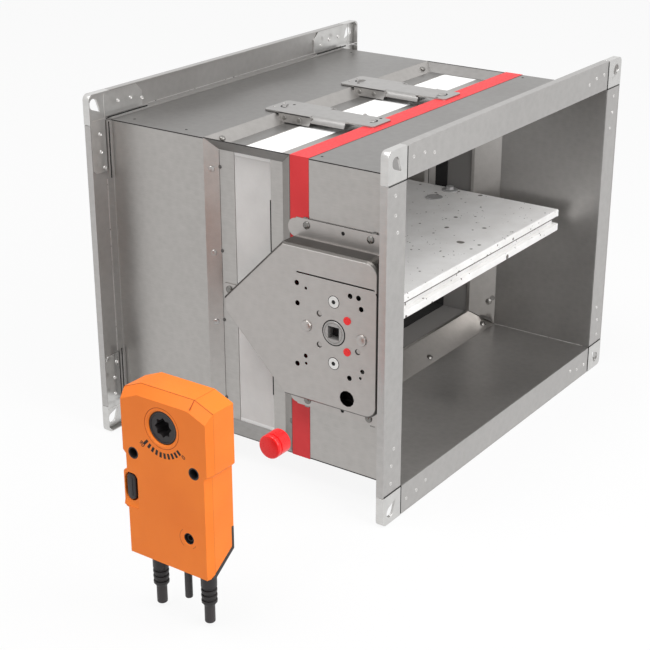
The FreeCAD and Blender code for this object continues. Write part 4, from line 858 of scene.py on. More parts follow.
# %% [markdown]
# ## Flange strips and corner pieces
# Pressed joints lock the corner pieces into the flange strips, three to a leg in a zigzag.
# Their raised rims need room in front of the strips, so copies of the strips are set back
# by a hair and the joints stand on them. Dark lines part each corner piece from the strips,
# and fine bright strips along the rear flange are painted highlights on its folds.

# %%
JOINT_STEPS = ((41, 13.0), (59, 13.5), (75.5, 17.3))
JOINT_SINK = 0.52
LEG_IN = 167.0
SET_BACK = 0.4
CORNER_LEG = 31.0
CLEAT_OUT = (corner("front_corner_cleats", 1).y, corner("front_corner_cleats", 1).z)


def set_back(name, axis, limit, shift):
    """A merged copy of a solid whose outermost face is moved by shift along an axis."""
    mesh = copy_of(name)
    k = "xyz".index(axis)
    for vert in mesh.verts:
        if abs(vert.co[k]) > limit * MM:
            vert.co[k] -= math.copysign(shift * MM, vert.co[k])
    bmesh.ops.dissolve_limit(mesh, angle_limit=FLAT, verts=mesh.verts, edges=mesh.edges)
    return mesh


def strips():
    for name in DRESS[PROFILE]:
        moved = set_back(name, "x", END - 0.05, SET_BACK)
        strip = finish_mesh(moved, name + "_rolled", PROFILE)
        ease_edges(strip, COMMON_EASE)
        declare(strip, "duct", "galvanised_steel", [name])


def flange_joints():
    """Three joints on each leg of the eight corner pieces, seen from both sides of a flange."""
    half_y, half_z = CLEAT_OUT
    legs = [(half_y - away, half_z - down) for along, across in JOINT_STEPS
            for away, down in ((across, along), (along, across))]
    places = []
    for end, side, up in product((1, -1), repeat=3):
        for y, z in legs:
            places.append(((end * (END - JOINT_SINK), side * y, up * z), (end, 0, 0)))
            places.append(((end * LEG_IN, side * y, up * z), (-end, 0, 0)))
    fit("flange_pressed_joints", CLINCH, places, PLATED, "duct", "galvanised_steel", size=0.85)


def flange_lines():
    half_y, half_z = CLEAT_OUT
    y, z = half_y - CORNER_LEG, half_z - CORNER_LEG

    def lines(form, level, strip, *ends):
        """Strips of a (width, sink, rise) that face +X at a level, between points (y, z)."""
        for start, end in ends:
            form.bar((level, *start), (level, *end), (1, 0, 0), *strip)

    joints, folds = Form(), Form()
    lines(joints, END - 0.1, (0.7, 0.6, 0.09), ((-y, z), (-y, half_z - 1.5)),
          ((-half_y + 1.5, z), (-y, z)))
    lines(joints, -LEG_IN, (1.3, 0.3, 0.15), ((-204, 149), (-204, 92)),
          ((-205, 153.4), (-147, 153.4)))
    piece(joints.mirrored(*MIRRORS), "corner_piece_joints", GAP, "duct", "galvanised_steel")
    # Painted highlights: bright strips along the folds of the rear flange.
    lines(folds, -LEG_IN, (0.8, 0.3, 0.2), ((-209, 154.5), (-209, half_z - 2)),
          ((-half_y + 2, 153.5), (-209, 153.5)))
    lines(folds, -LEG_IN, (0.7, 0.3, 0.2), ((-210.5, -1), (-210.5, 92)),
          ((-145, 156), (1, 156)))
    piece(folds.mirrored(*MIRRORS), "flange_fold_lines", PLATED, "duct", "galvanised_steel")


strips()
flange_joints()
flange_lines()

# %% [markdown]
# ## Bridging brackets
# Four pressed brackets hold the two halves of the duct across the fire board. Each is a
# flat plate with two legs folded down at its rear, two rolled lips in front of them and a
# half-round louvre at each end. One bracket is drawn at the near top and mirrored.

# %%
BRACKET_Y, BRACKET_HALF = middle_and_half("top_bracket_near", "y")
BRACKET_REAR = corner("top_bracket_near", 0).x
BRACKET_FRONT = corner("top_bracket_near", 1).x
BRACKET_FACE = corner("top_bracket_near", 1).z
BRACKET_SHEET = 1.5
NOTCH_X = 35
NOTCH = 4
LEG = (-47, -10)
LEG_DEPTH = 10.2
LIP = (-9, 32)
LIP_RADIUS = 6.5
LOUVRES = ((-52, BRACKET_Y, 200), (49, BRACKET_Y + 1, 20))
PIN_HOLES = ((-49.5, BRACKET_Y + 9), (51.5, BRACKET_Y + 14))


def bracket_plan():
    half, notch, rolled = BRACKET_HALF, BRACKET_HALF - NOTCH, BRACKET_HALF - LIP_RADIUS
    upper = [(BRACKET_REAR, half - 3), (BRACKET_REAR + 3, half), (LIP[0], half),
             (LIP[0], rolled), (LIP[1], rolled), (LIP[1], half - 2), (NOTCH_X, notch),
             (BRACKET_FRONT - 3, notch), (BRACKET_FRONT, notch - 3)]
    return [(x, BRACKET_Y + w) for x, w in upper] + [
        (x, BRACKET_Y - w) for x, w in reversed(upper)]


def rolled_lip(form, side):
    """A strip rolled down and in beside the board, as an arc with a wall."""
    edge = BRACKET_Y + side * BRACKET_HALF
    centre = (edge - side * LIP_RADIUS, BRACKET_FACE - LIP_RADIUS)
    turns = [math.radians(10 * i) for i in range(10)]
    arcs = [[(centre[0] + side * r * math.cos(a), centre[1] + r * math.sin(a)) for a in turns]
            for r in (LIP_RADIUS, LIP_RADIUS - BRACKET_SHEET)]
    form.push(arcs[0] + arcs[1][::-1], "x", *LIP)


def louvre(form, x, y, towards):
    """A half-round louvre: a quarter dome that opens towards the bracket's middle."""
    profile = [(5.2, BRACKET_FACE - 0.3), (5.0, BRACKET_FACE + 0.3), (3.9, BRACKET_FACE + 1.1),
               (2.2, BRACKET_FACE + 1.5), (0.4, BRACKET_FACE + 1.6)]
    form.turn(profile, "z", (x, y), 24, arc=(towards - 90, towards + 90))


def brackets():
    form = Form().push(bracket_plan(), "z", BRACKET_FACE - BRACKET_SHEET, BRACKET_FACE)
    for side in (-1, 1):
        out = BRACKET_Y + side * BRACKET_HALF
        inner = out - side * BRACKET_SHEET
        low = BRACKET_FACE - LEG_DEPTH
        form.push([(LEG[0], BRACKET_FACE - 0.5), (LEG[0], low + 4), (LEG[0] + 6, low),
                   (LEG[1], low), (LEG[1] + 4, BRACKET_FACE - 0.5)], "y", inner, out)
        rolled_lip(form, side)
    for place in LOUVRES:
        louvre(form, *place)
    piece(form.mirrored(*MIRRORS), "bridging_brackets", BRACKET, "duct", "galvanised_steel",
          ease=0.25, replaces=BRACKETS)
    # Painted shade: dark discs in the pin holes and dark arcs under the louvres.
    shade = Form()
    for x, y in PIN_HOLES:
        shade.turn([(1.7, BRACKET_FACE - 0.3), (1.6, BRACKET_FACE + 0.06),
                    (0.3, BRACKET_FACE + 0.06)], "z", (x, y), 16)
    for x, y, towards in LOUVRES:
        shade.turn([(6.6, BRACKET_FACE - 0.3), (6.6, BRACKET_FACE + 0.05),
                    (5.0, BRACKET_FACE + 0.05), (5.0, BRACKET_FACE - 0.3)],
                   "z", (x, y), 24, arc=(towards - 90, towards + 90))
    piece(shade.mirrored(*MIRRORS), "bracket_openings", GAP, "duct", "galvanised_steel")


brackets()

# %% [markdown]
# ## Fasteners of the brackets
# Three small rivets on each plate and two bolts on each leg. They are placed on the one
# bracket and mirrored as it is.

# %%
def bracket_fasteners():
    level = BRACKET_FACE
    ends = [((-61.5, BRACKET_Y - 8, level), (0, 0, 1)), ((-61.5, BRACKET_Y + 8, level), (0, 0, 1)),
            ((30, BRACKET_Y + BRACKET_HALF - 2.5, level), (0, 0, 1))]
    legs = []
    for side in (-1, 1):
        out = BRACKET_Y + side * BRACKET_HALF
        legs += [((x, out, level - 5.6), (0, side, 0)) for x in (-40, -22)]
    for name, places, finish, size, nodes in (
            ("bracket_rivets", ends, BRACKET, 0.55, ["bracket_screws"]),
            ("bracket_leg_bolts", legs, DULL, 0.8, [])):
        fit(name, RIVET, with_mirrored(places, *MIRRORS), finish, "duct", "bright_steel",
            size=size, replaces=nodes)


bracket_fasteners()

# %% [markdown]
# ## Face of the mechanism housing
# The drive hub is turned steel with a groove round its face and a square socket. Behind
# its mouth the socket is wider, so that its walls and floor stay clear of the spindle that
# slides in; the walls' darker grey and the floor's black are painted shade. Two socket
# screws hold the hub's bearing plate, with black hexagons in their sockets as painted
# shade, two domed rivets sit beside it, and blind cups lie in three of the holes, their
# grey painted shade. The slit ends in a short turn at the rounded edge.

# %%
HUB_RADIUS = 11.6
HUB_FACE = corner("drive_hub", 0).y
HUB_BACK = corner("drive_hub", 1).y
SOCKET_HALF = 6.1
SOCKET_WALL = 0.6
SOCKET_FLOOR = 8.2
HUB_PLAY = 0.15
SOCKET_DEPTH = 9
SHADOW_DEEP = PLATE + 0.2
SCREW_UP = 30.2
DOME_ALONG = 30.3
CUPS = ((-16, 15.3), (-16, -15.3), (26.3, -12.2))


def hub():
    centre = (DRIVE_X, 0)
    face = HUB_FACE
    solid = Form().turn([(HUB_RADIUS, HUB_BACK), (HUB_RADIUS, face + 0.35),
                         (HUB_RADIUS - 0.4, face), (10.0, face), (9.8, face + 0.5),
                         (9.3, face + 0.5), (9.1, face + 0.1), (0.3, face + 0.1)],
                        "y", centre, 64)
    x, s = DRIVE_X, SOCKET_HALF
    wide = s + SOCKET_WALL
    mouth, floor = face + 0.5, face + SOCKET_FLOOR
    levels = ((face - 2, s), (mouth, s), (mouth, wide), (face + SOCKET_DEPTH, wide))
    socket = Form().loft([[(u, y, v) for u, v in rectangle(x - r, x + r, -r, r)]
                          for y, r in levels])
    hub_piece = carve(solid.mesh, socket, "drive_hub_turned", HUB)
    declare(hub_piece, "drive", "bright_steel", ["drive_hub"])
    rings = Form().ring(centre, HUB_RADIUS + HUB_PLAY, HUB_RADIUS + 1.1, SHADOW_DEEP,
                        PLATE - 0.06)
    for side in (-1, 1):
        rings.ring((DRIVE_X, side * SCREW_UP), 5.55, 6.1, SHADOW_DEEP, PLATE - 0.05, 48)
    piece(rings, "housing_hole_shadows", GAP, "duct", "galvanised_steel")
    walls = Form()
    for sign, wall in ((-1, "x"), (1, "x"), (-1, "z"), (1, "z")):
        low, high = sorted((sign * s, sign * (wide - 0.02)))
        sides = (x + low, x + high, -s, s) if wall == "x" else (x - s, x + s, low, high)
        walls.push(rectangle(*sides), "y", mouth, floor)
    piece(walls, "hub_socket_walls", SOCKET, "drive", "bright_steel")
    # Painted shade: a black floor deep in the socket.
    bottom = Form().push(rectangle(x - s, x + s, -s, s), "y", floor, floor + 0.6)
    piece(bottom, "hub_socket_floor", GAP, "drive", "bright_steel")


def face_fittings():
    screws = [((DRIVE_X, PLATE, side * SCREW_UP), OUT) for side in (1, -1)]
    fit("bearing_screws_turned", DRIVE_SCREW, screws, PLATED, "duct", "bright_steel",
        replaces=["bearing_plate_screws"])
    # Painted shade: black hexagons in the screws' cut sockets.
    fit("bearing_screw_sockets", HEXAGON, screws, GAP, "duct", "bright_steel")
    fit("face_rivets", DOME, [((DRIVE_X + side * DOME_ALONG, PLATE, 0), OUT) for side in (1, -1)],
        PRESSED, "duct", "galvanised_steel")
    cups, pins = Form(), Form()
    for u, v in CUPS:
        cups.turn([(3.2, PLATE + 1.4), (3.2, PLATE + 0.8), (0.3, PLATE + 0.8)], "y",
                  (DRIVE_X + u, v), 24)
        pins.turn([(2.3, PLATE + 1.0), (2.3, PLATE + 0.2), (1.9, PLATE + 0.1),
                   (0.3, PLATE + 0.1)], "y", (DRIVE_X + u + 0.9, v + 0.7), 24)
    # Painted shade: the cups are soft grey.
    piece(cups, "blind_cups", SOFT_SHADE, "duct", "bright_steel")
    piece(pins, "blind_cup_pins", PRESSED, "duct", "bright_steel")
    slit = Form()
    end = PLATE_FRONT - 4
    for x0, z0, x1, z1 in ((-0.6, 50.9, 1.6, 47.8), (1.5, 48.2, 3.0, 44)):
        slit.bar((end + x0, PLATE + 0.2, z0), (end + x1, PLATE + 0.9, z1), (0.3, -1, 0),
                 1.2, 0.3, 0.35)
    piece(slit, "slit_end", GAP, "duct", "galvanised_steel")


hub()
face_fittings()

# %% [markdown]
# ## Edge of the blade
# The blade is built up of three boards, and the foot of the upper one lies in shade. A soft
# grey strip on each end of the blade draws that line.

# %%
def blade_edge_lines():
    low, high = corner("blade_upper_board", 0), corner("blade_upper_board", 1)
    foot = low.z + 0.55
    lines = Form()
    for side, face in ((1, high.x), (-1, low.x)):
        lines.bar((face, low.y + 1, foot), (face, high.y - 1, foot), (side, 0, 0), 1.1, 0.3, 0.03)
    piece(lines, "blade_edge_lines", SOFT_SHADE, "blade", "blade_board")


blade_edge_lines()

# %% [markdown]
# ## Screws and edges of the housing
# Cross-recessed screws hold the housing's two long feet to the duct, one more its tip.
# The free edge of each foot shows a thin dark strip of painted shadow, with a small tab at each
# end.

# %%
HOUSING_SHEET = 1.2
FOOT_FACE = -SIDE - HOUSING_SHEET
FOOT_EDGE = corner("mechanism_housing", 1).z
FOOT_SCREWS_X = (70, 140)
FOOT_HOLE_X = 110.3
FOOT_SCREW_Z = 88
TIP_SCREW_X = -30
TABS_X = (69, 144)


def housing_fittings():
    screws = [((x, FOOT_FACE, side * FOOT_SCREW_Z), OUT) for x in FOOT_SCREWS_X
              for side in (1, -1)]
    screws.append(((TIP_SCREW_X, -RECESS_SIDE - HOUSING_SHEET, 0), OUT))
    fit("housing_screws_cross", PAN_SCREW, screws, SCREW, "duct", "bright_steel",
        replaces=["housing_screws"])
    holes = [((FOOT_HOLE_X, FOOT_FACE, side * FOOT_SCREW_Z), OUT) for side in (1, -1)]
    fit("foot_pilot_holes", DOT, holes, GAP, "duct", "galvanised_steel", size=1.9)
    # Painted shadow: a dark strip under the free edge of each foot.
    edges = Form()
    for side in (1, -1):
        z = side * (FOOT_EDGE - 0.3)
        edges.bar((66, FOOT_FACE, z), (153.5, FOOT_FACE, z), OUT, 0.9, 0.3, 0.12)
    piece(edges, "foot_edge_lines", SOFT_SHADE, "duct", "galvanised_steel")
    tabs = Form()
    for side in (1, -1):
        for x in TABS_X:
            z = side * FOOT_EDGE
            tabs.push([(x - 3, z - side), (x + 3, z - side), (x + 2.2, z + side * 1.4),
                       (x - 2.2, z + side * 1.4)], "y", FOOT_FACE - 0.3, FOOT_FACE + 1)
    piece(tabs, "foot_tabs", SCREW, "duct", "galvanised_steel")


housing_fittings()

# %% [markdown]
# ## Inside of the duct
# The folds in front of the blade are mitred at the corners and screwed down. Thin seams
# mark the mitres, and the screws are the same cross-recessed ones.

# %%
RAMP_START = (WAIST_FRONT, 200.0, 150.0)
RAMP_END = (25.0, 184.5, 134.5)
INSIDE_SCREWS_X = 44.5
INSIDE_SCREWS_Y = (-184, -65, 65, 184)
INSIDE_SCREWS_Z = (-121.9, 121.9)


def inside_details():
    mitres = Form()
    a, b = Vector(RAMP_START), Vector(RAMP_END)
    mitres.bar((a.x, -a.y + 0.3, -a.z + 0.3), (b.x, -b.y + 0.3, -b.z + 0.3), (0, 1, 1), 0.6)
    mitres.mirrored(*MIRRORS)
    piece(mitres, "inside_mitres", GAP, "duct", "galvanised_steel")
    slope = Vector((a.x - b.x, 0, b.z - a.z)).normalized()
    up = (-slope.z, 0, slope.x)
    x = INSIDE_SCREWS_X
    depth = b.z + (a.z - b.z) * (x - b.x) / (a.x - b.x)
    screws = with_mirrored([((x, y, -depth), up) for y in INSIDE_SCREWS_Y], UNDERSIDE)
    screws += [((x, side * (depth + a.y - a.z), z), (up[0], -side * up[2], 0))
               for side in (1, -1) for z in INSIDE_SCREWS_Z]
    fit("inside_screws", PAN_SCREW, screws, SCREW, "duct", "bright_steel", size=0.95)


inside_details()

# %% [markdown]
# ## Trip capsule
# A turned red cap with a rounded front, a groove near it and a bore behind for the sensor.

# %%
def capsule():
    back, front = corner("trip_capsule", 1).y, corner("trip_capsule", 0).y
    x, r = middle_and_half("trip_capsule", "x")
    bore = back - 12
    profile = [(0.3, bore), (5.0, bore), (5.0, back), (r - 0.7, back), (r, back - 0.7),
               (r, front + 5.3), (r - 0.9, front + 5.0), (r - 0.9, front + 4.2), (r, front + 3.9),
               *quarter_round(r, front, 1.8), (0.3, front)]
    form = Form().turn(profile, "y", (x, middle_and_half("trip_capsule", "z")[0]), 64)
    piece(form, "trip_capsule_turned", RED_CAP, "capsule", "red_plastic",
          replaces=["trip_capsule"])


capsule()

# %% [markdown]
# ## Shells of the actuator
# Two orange shells of glass-filled nylon. Their solids already have the outline, so copies
# of them are carved. The front one gets a bevelled mouth and a fine groove round the clamp
# and bevels on its screw and winding holes. The back one gets two round pockets, because
# the housing's domed rivets need room when the actuator is seated. A bevel rounds every
# outer edge, which leaves a fine joint line where the shells meet.

# %%
COVER_FACE = corner("actuator_cover", 0).y
COVER_BACK = corner("actuator_cover", 1).y
CASE_BACK = corner("actuator_case", 1).y
CLAMP_RADIUS = 14.3
FIXING = (31.5, -30.4)
WINDING = (23.6, -91.4)
FACE_SKIN = 0.12
SHELL_FACE = COVER_FACE + FACE_SKIN
SHELL_EASE = 0.6 * MM
POCKET_RADIUS = 6.4
POCKET_DEPTH = 2.4


def from_drive(u, v):
    """A place (x, z) on the actuator, from its distances to the drive axis."""
    return DRIVE_X + u, v


def mouth_cutter(form, centre, radius, bevel):
    """A cone that bevels the mouth of a hole."""
    form.turn([(radius + bevel + 1, SHELL_FACE - 1), (radius - 0.05, SHELL_FACE + bevel)],
              "y", centre, 64)


def cover():
    cuts = Form()
    mouth_cutter(cuts, from_drive(0, 0), CLAMP_RADIUS, 1.3)
    cuts.ring(from_drive(0, 0), 17.3, 17.9, SHELL_FACE + 0.5, SHELL_FACE - 1)
    for side in (-1, 1):
        mouth_cutter(cuts, from_drive(side * FIXING[0], FIXING[1]), 4.5, 0.5)
    mouth_cutter(cuts, from_drive(*WINDING), 5.0, 0.5)
    moved = set_back("actuator_cover", "y", -COVER_FACE - 0.05, FACE_SKIN)
    shell = carve(moved, cuts, "actuator_front_shell", ORANGE)
    ease_edges(shell, SHELL_EASE)
    declare(shell, "actuator", "orange_shell", ["actuator_cover"])


def case():
    pockets = Form()
    for side in (-1, 1):
        pockets.turn([(POCKET_RADIUS, CASE_BACK + 1), (POCKET_RADIUS, CASE_BACK - POCKET_DEPTH)],
                     "y", from_drive(side * DOME_ALONG, 0), 40)
    shell = carve(copy_of("actuator_case"), pockets, "actuator_back_shell", ORANGE)
    ease_edges(shell, SHELL_EASE)
    declare(shell, "actuator", "orange_shell", ["actuator_case"])


cover()
case()

# %% [markdown]
# ## Joint lines, winding arcs and dial
# The shells' fine lines are shallow grooves, drawn as thin strips of a darker orange that
# is painted shade, and so are two thin arcs beside the winding hole. The dial is printed:
# ten ticks over about a right angle, with 90 at one end and 0 at the other.

# %%
RIM_SHORTEST = 3.0
GROOVE = (17.25, 17.95)
WINDING_ARCS = ((9.2, range(130, 236, 15)), (8.4, range(-60, -29, 10)))
TICKS = 10
TICK_FROM = 224.0
TICK_TO = 316.0
TICK_RADIUS = (21.0, 25.8)
TICK_WIDTH = 2.3
NUMBER_RADIUS = 28.8
NUMBER_SIZE = 5.4
INK_DEPTH = 0.05


def case_rim():
    """The long outer edges where the back shell meets the front one, with the way they face."""
    mesh = copy_of("actuator_case")
    bmesh.ops.dissolve_limit(mesh, angle_limit=FLAT, verts=mesh.verts, edges=mesh.edges)
    middle = (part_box("actuator_case")[0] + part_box("actuator_case")[1]) / 2
    found = []
    for edge in mesh.edges:
        first, second = (vert.co.copy() for vert in edge.verts)
        level = all(abs(point.y / MM - COVER_BACK) < 0.05 for point in (first, second))
        sides = [face.normal.copy() for face in edge.link_faces if abs(face.normal.y) < 0.5]
        if not level or not sides or (second - first).length < RIM_SHORTEST * MM:
            continue
        out = sides[0]
        if out.dot((first + second) / 2 - middle) > 0.02:
            found.append((first / MM, second / MM, out))
    mesh.free()
    print("rim edges:", [tuple(round(v, 1) for v in (*a, *b)) for a, b, _ in found])
    return found


def shell_lines():
    middle, half = middle_and_half("actuator_case", "x")
    crease = middle + half - 18
    top = corner("actuator_case", 1).z
    lines = Form()
    lines.bar((crease, COVER_BACK + 0.5, top - 0.08), (crease, CASE_BACK - 0.5, top - 0.08),
              (0, 0, 1), 0.7, 0.3, 0.06)
    lines.bar((crease, COVER_FACE + 1.2, top - 6.4), (crease, COVER_BACK, top - 0.1),
              (0, -7.5, 8), 0.7, 0.3, 0.12)
    for start, end, out in case_rim():
        lines.bar(start, end, out, 0.9, 0.8, -0.12)
    lines.ring(from_drive(0, 0), *GROOVE, COVER_FACE + 0.9, SHELL_FACE + 0.25)
    for u, angles in WINDING_ARCS:
        points = [from_drive(WINDING[0] + u * math.cos(math.radians(a)),
                             WINDING[1] + u * math.sin(math.radians(a))) for a in angles]
        for (x0, z0), (x1, z1) in zip(points, points[1:]):
            lines.bar((x0, SHELL_FACE, z0), (x1, SHELL_FACE, z1), OUT, 0.45, 0.2, 0.04)
    piece(lines, "actuator_joint_lines", SHADE, "actuator", "orange_shell")


def dial_ticks():
    form = Form()
    for i in range(TICKS):
        angle = math.radians(TICK_FROM + (TICK_TO - TICK_FROM) * i / (TICKS - 1))
        radial = Vector((math.cos(angle), 0, math.sin(angle)))
        inner, outer = TICK_RADIUS
        if i == 0:
            outer += 1.2
        centre = Vector((DRIVE_X, SHELL_FACE, 0))
        form.bar(centre + radial * inner, centre + radial * outer, OUT, TICK_WIDTH, 0.1,
                 FACE_SKIN - 0.04)
    piece(form, "dial_ticks", INK, "actuator", "black_plastic")


def dial_number(text, angle):
    """A printed number whose foot points away from the drive axis."""
    curve = bpy.data.curves.new("number_" + text, "FONT")
    curve.body = text
    curve.size = NUMBER_SIZE * MM
    curve.extrude = INK_DEPTH * MM
    curve.offset = INK_DEPTH * MM
    curve.align_x = "CENTER"
    curve.align_y = "CENTER"
    holder = bpy.data.objects.new("number_" + text, curve)
    bpy.context.scene.collection.objects.link(holder)
    mesh = baked(holder)
    bpy.data.objects.remove(holder)
    a = math.radians(angle)
    x, z = from_drive(NUMBER_RADIUS * math.cos(a), NUMBER_RADIUS * math.sin(a))
    stand = Matrix.Rotation(math.radians(90), 4, "X")
    lean = Matrix.Rotation(-(a - math.radians(270)), 4, "Y")
    spot = Matrix.Translation(Vector((x, SHELL_FACE - 0.02, z)) * MM)
    mesh.transform(spot @ lean @ stand)
    form = Form()
    form.mesh.from_mesh(mesh)
    return form


shell_lines()
dial_ticks()
piece(dial_number("90", 222), "dial_number_90", INK, "actuator", "black_plastic")
piece(dial_number("0", 319), "dial_number_0", INK, "actuator", "black_plastic")

# %% [markdown]
# ## Black fittings of the actuator
# The clamp's rim, the liners of the screw holes and the winding hole, the release lever
# and the ribbed strain reliefs are all black nylon. The liners close the holes in depth,
# which is what makes them look black. The lever stands in an orange frame with an opening
# that leaves it room to turn, and below it a scoop in the frame makes way for a finger.

# %%
SURROUND_DROP = 3.0
SURROUND_WALL = (3.35, 5.5)
SLOT_DOWN = 18
LEVER_ROOM = (7.0, 12.8)
RIB_HALF = 8.2


def liners():
    form = Form()
    face = SHELL_FACE
    for u, v, r, depth in ((FIXING[0], FIXING[1], 4.5, 14), (-FIXING[0], FIXING[1], 4.5, 14),
                           (WINDING[0], WINDING[1], 5.0, 13)):
        form.turn([(r - 0.02, face + depth + 1), (r - 0.02, face + 0.55), (r - 0.5, face + 0.5),
                   (r - 0.7, face + depth), (0.3, face + depth)], "y", from_drive(u, v), 40)
    form.ring(from_drive(*WINDING), 3.1, 2.3, face + 6, face + 2.2, 32)
    for side in (-1, 1):
        form.ring(from_drive(side * FIXING[0], FIXING[1]), 4.3, 5.25, face + 0.8, face - 0.05, 40)
    piece(form, "hole_liners", BLACK, "actuator", "black_plastic")


def clamp_rim():
    face = corner("drive_clamp", 0).y
    form = Form().turn([(13.9, face + 0.5), (13.9, face - 0.3), (13.2, face - 0.75),
                        (12.4, face - 0.55), (12.1, face + 0.5)], "y", from_drive(0, 0), 64,
                       closed=True)
    piece(form, "clamp_rim", BLACK, "clamp", "black_plastic")


def lever():
    low, high = corner("release_lever", 0), corner("release_lever", 1)
    x, half_w = middle_and_half("release_lever", "x")
    z, half_h = middle_and_half("release_lever", "z")

    def oval(half_x, half_z):
        ends = [(x, z + side * (half_z - half_x)) for side in (1, -1)]
        points = []
        for (cx, cz), first in zip(ends, (0, 180)):
            points += [(cx + half_x * math.cos(math.radians(first + t)),
                        cz + half_x * math.sin(math.radians(first + t)))
                       for t in range(0, 181, 15)]
        return points

    def frame_of(half_x, half_z, radius):
        """Points of a rounded frame, as many and in the same order as those of the oval."""
        points = []
        corners = ((1, 1), (-1, 1), (-1, -1), (1, -1))
        counts = (7, 6, 7, 6)
        for (sx, sz), count, first in zip(corners, counts, (0, 90, 180, 270)):
            cx, cz = x + sx * (half_x - radius), z - SURROUND_DROP + sz * (half_z - radius)
            points += [(cx + radius * math.cos(math.radians(first + 90 * i / (count - 1))),
                        cz + radius * math.sin(math.radians(first + 90 * i / (count - 1))))
                       for i in range(count)]
        return points

    back, front = low.y + 16, low.y + 1.2
    outer = frame_of(half_w + SURROUND_WALL[0], half_h + SURROUND_WALL[1], 3)
    room_x, room_z = LEVER_ROOM
    rings = [[(u, level, v) for u, v in points] for level, points in (
        (front, outer), (back, outer), (back, oval(room_x, room_z)),
        (front + 0.3, oval(room_x, room_z)), (front, oval(room_x + 0.25, room_z + 0.25)))]
    surround = Form().loft(rings, closed=True)
    scoop, end = z - room_z - 0.5, z - SLOT_DOWN
    surround.push([(front, scoop), (COVER_FACE + 0.35, end), (back, end), (back, scoop)], "x",
                  x - half_w - 3.3, x + half_w + 3.3)
    piece(surround, "lever_surround", ORANGE, "actuator", "orange_shell", ease=0.3)
    levels = ((0.0, high.y), (0.0, low.y + 1.6), (0.5, low.y + 0.9), (1.4, low.y + 0.5))
    form = Form().loft([[(u, level, v) for u, v in oval(half_w - inset, half_h - inset)]
                        for inset, level in levels])
    rib = rectangle(x - 0.3, x + 1.7, z - RIB_HALF, z + RIB_HALF)
    form.push(rib, "y", low.y + 1.2, low.y + 0.02)
    piece(form, "release_lever_ribbed", BLACK, "lever", "black_plastic", ease=0.2,
          replaces=["release_lever"])


liners()
clamp_rim()
lever()

# %% [markdown]
# ## Cable glands
# Each power cable leaves through a gland with three ribs, and its cut end is rounded. A
# thinner cable leaves between them.

# %%
GLAND_RADIUS = 7.0
GLAND_WAIST = 5.7
GLAND_REACH = 8
RIBS = 3
RIB_PITCH = 5.0
CABLE_RADIUS = 4.5
THIN_CABLE_RADIUS = 3.25


def glands():
    low, high = corner("cable_glands", 0), corner("cable_glands", 1)
    y = middle_and_half("cable_glands", "y")[0]
    form = Form()
    cables = Form()
    end = corner("cable_stubs", 0).z
    for x in (low.x + GLAND_REACH, high.x - GLAND_REACH):
        profile = [(GLAND_RADIUS, high.z), (GLAND_RADIUS - 0.25, low.z + 18)]
        for i in range(RIBS):
            start = low.z + 17 - RIB_PITCH * i
            profile += [(GLAND_WAIST, start), (GLAND_WAIST, start - 1.3),
                        (GLAND_RADIUS - 0.35, start - 1.6), (GLAND_RADIUS - 0.2, start - 2.6),
                        (GLAND_RADIUS - 0.4, start - 4.2)]
        profile += [(GLAND_WAIST - 0.2, low.z + 2.0), (CABLE_RADIUS + 0.3, low.z)]
        form.turn(profile, "z", (x, y), 40)
        cables.turn([(CABLE_RADIUS, low.z + 9), *quarter_round(CABLE_RADIUS, end, 1.2),
                     (0.3, end)], "z", (x, y), 32)
    piece(form, "cable_glands_ribbed", BLACK, "actuator", "black_plastic",
          replaces=["cable_glands"])
    x = middle_and_half("cable_glands", "x")[0] + 4
    thin_end = low.z - 1
    cables.turn([(4.4, high.z), (4.4, high.z - 8), (THIN_CABLE_RADIUS, high.z - 9.5),
                 *quarter_round(THIN_CABLE_RADIUS, thin_end, 1), (0.3, thin_end)],
                "z", (x, y), 32)
    piece(cables, "cable_ends_round", CABLE, "actuator", "black_plastic",
          replaces=["cable_stubs"])


glands()

# %% [markdown]
# ## Clearing up
# The patterns have served and leave the scene, so that only real pieces remain.

# %%
for pattern in PATTERNS:
    bpy.data.objects.remove(pattern)

# %% [markdown]
# ## Floor
# A plain studio starts with a pale floor. What the camera sees of it is mostly an even white
# glow, as in a cut-out product picture, and the rest of it keeps the object's shadow.

# %%
FLOOR_LEVEL = cad_low.z - 0.0005
FLOOR_REACH = 6.0
FLOOR_GLOW = 0.88
GLOW_STRENGTH = 1.02
WHITE = (1, 1, 1, 1)


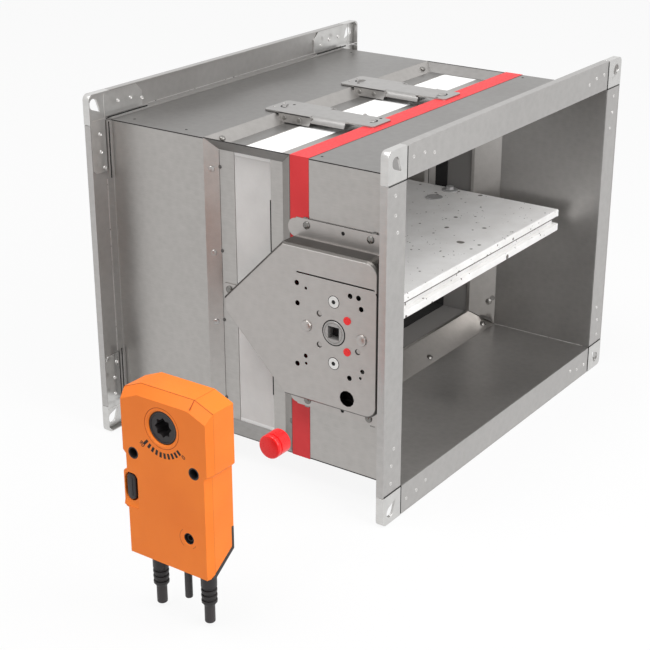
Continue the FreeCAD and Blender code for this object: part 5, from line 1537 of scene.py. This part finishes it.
def make_floor():
    mesh = bpy.data.meshes.new("floor")
    corners = rectangle(-FLOOR_REACH, FLOOR_REACH, -FLOOR_REACH, FLOOR_REACH)
    mesh.from_pydata([(x, y, FLOOR_LEVEL) for x, y in corners], [], [(0, 1, 2, 3)])
    floor = bpy.data.objects.new("floor", mesh)
    bpy.context.scene.collection.objects.link(floor)
    m = Finish("pale_floor")
    m.surface(rgb("#cfcfcf"), 0.0, 0.9, specular=0.1)
    glow = m.add("ShaderNodeEmission", {"Color": WHITE, "Strength": GLOW_STRENGTH})
    share = m.add("ShaderNodeMixShader", {0: m.sum(m.seen(), FLOOR_GLOW, "MULTIPLY"),
                                          1: m.shader.outputs[0], 2: glow.outputs[0]})
    m.fill(m.tree.nodes["Material Output"], {"Surface": share.outputs[0]})
    mesh.materials.append(m.material)


make_floor()
print("floor at", round(FLOOR_LEVEL, 4))

# %% [markdown]
# ## Sky
# Two backgrounds are mixed by the kind of ray. The camera, mirrors and glass see pure white,
# so metal shows the same background as the picture does. The light that falls on things
# comes from a softer grey, which is lighter towards the top.

# %%
SKY_LOW = 0.62
SKY_HIGH = 1.0
SKY_FROM = -0.2
SKY_STRENGTH = 0.6


def make_world():
    world = bpy.data.worlds.new("studio")
    bpy.context.scene.world = world
    world.use_nodes = True
    world.node_tree.nodes.clear()
    g = Graph(world.node_tree)
    place = g.add("ShaderNodeTexCoord").outputs["Generated"]
    up = g.add("ShaderNodeSeparateXYZ", {0: place}).outputs["Z"]
    grey = g.add("ShaderNodeMapRange", {"Value": up, "From Min": SKY_FROM, "To Min": SKY_LOW,
                                        "To Max": SKY_HIGH}).outputs[0]
    light = g.add("ShaderNodeBackground", {"Color": grey, "Strength": SKY_STRENGTH})
    white = g.add("ShaderNodeBackground", {"Color": WHITE})
    share = g.add("ShaderNodeMixShader", {0: g.seen(), 1: light.outputs[0],
                                          2: white.outputs[0]})
    g.add("ShaderNodeOutputWorld", {0: share.outputs[0]})


make_world()

# %% [markdown]
# ## Lamps
# Three square lamps, large so that their shadows are soft: the key above the near side, a
# weaker one beyond the front flange, and a small one that looks into the opening.

# %%
def soft_lamp(name, place, aim, size, power):
    data = bpy.data.lights.new(name, "AREA")
    data.size = size
    data.energy = power
    lamp = bpy.data.objects.new(name, data)
    lamp.location = place
    lamp.rotation_euler = (Vector(aim) - Vector(place)).to_track_quat("-Z", "Y").to_euler()
    bpy.context.scene.collection.objects.link(lamp)
    print("lamp", name, power, "W")


soft_lamp("key", (-0.4, -1.2, 2.9), (0, -0.1, 0), 1.6, 50)
soft_lamp("side", (2.4, -0.7, 1.1), (0, 0, 0), 1.2, 25)
soft_lamp("opening", (0.70, -0.15, 0.82), (0.08, 0, 0), 0.5, 4.6)
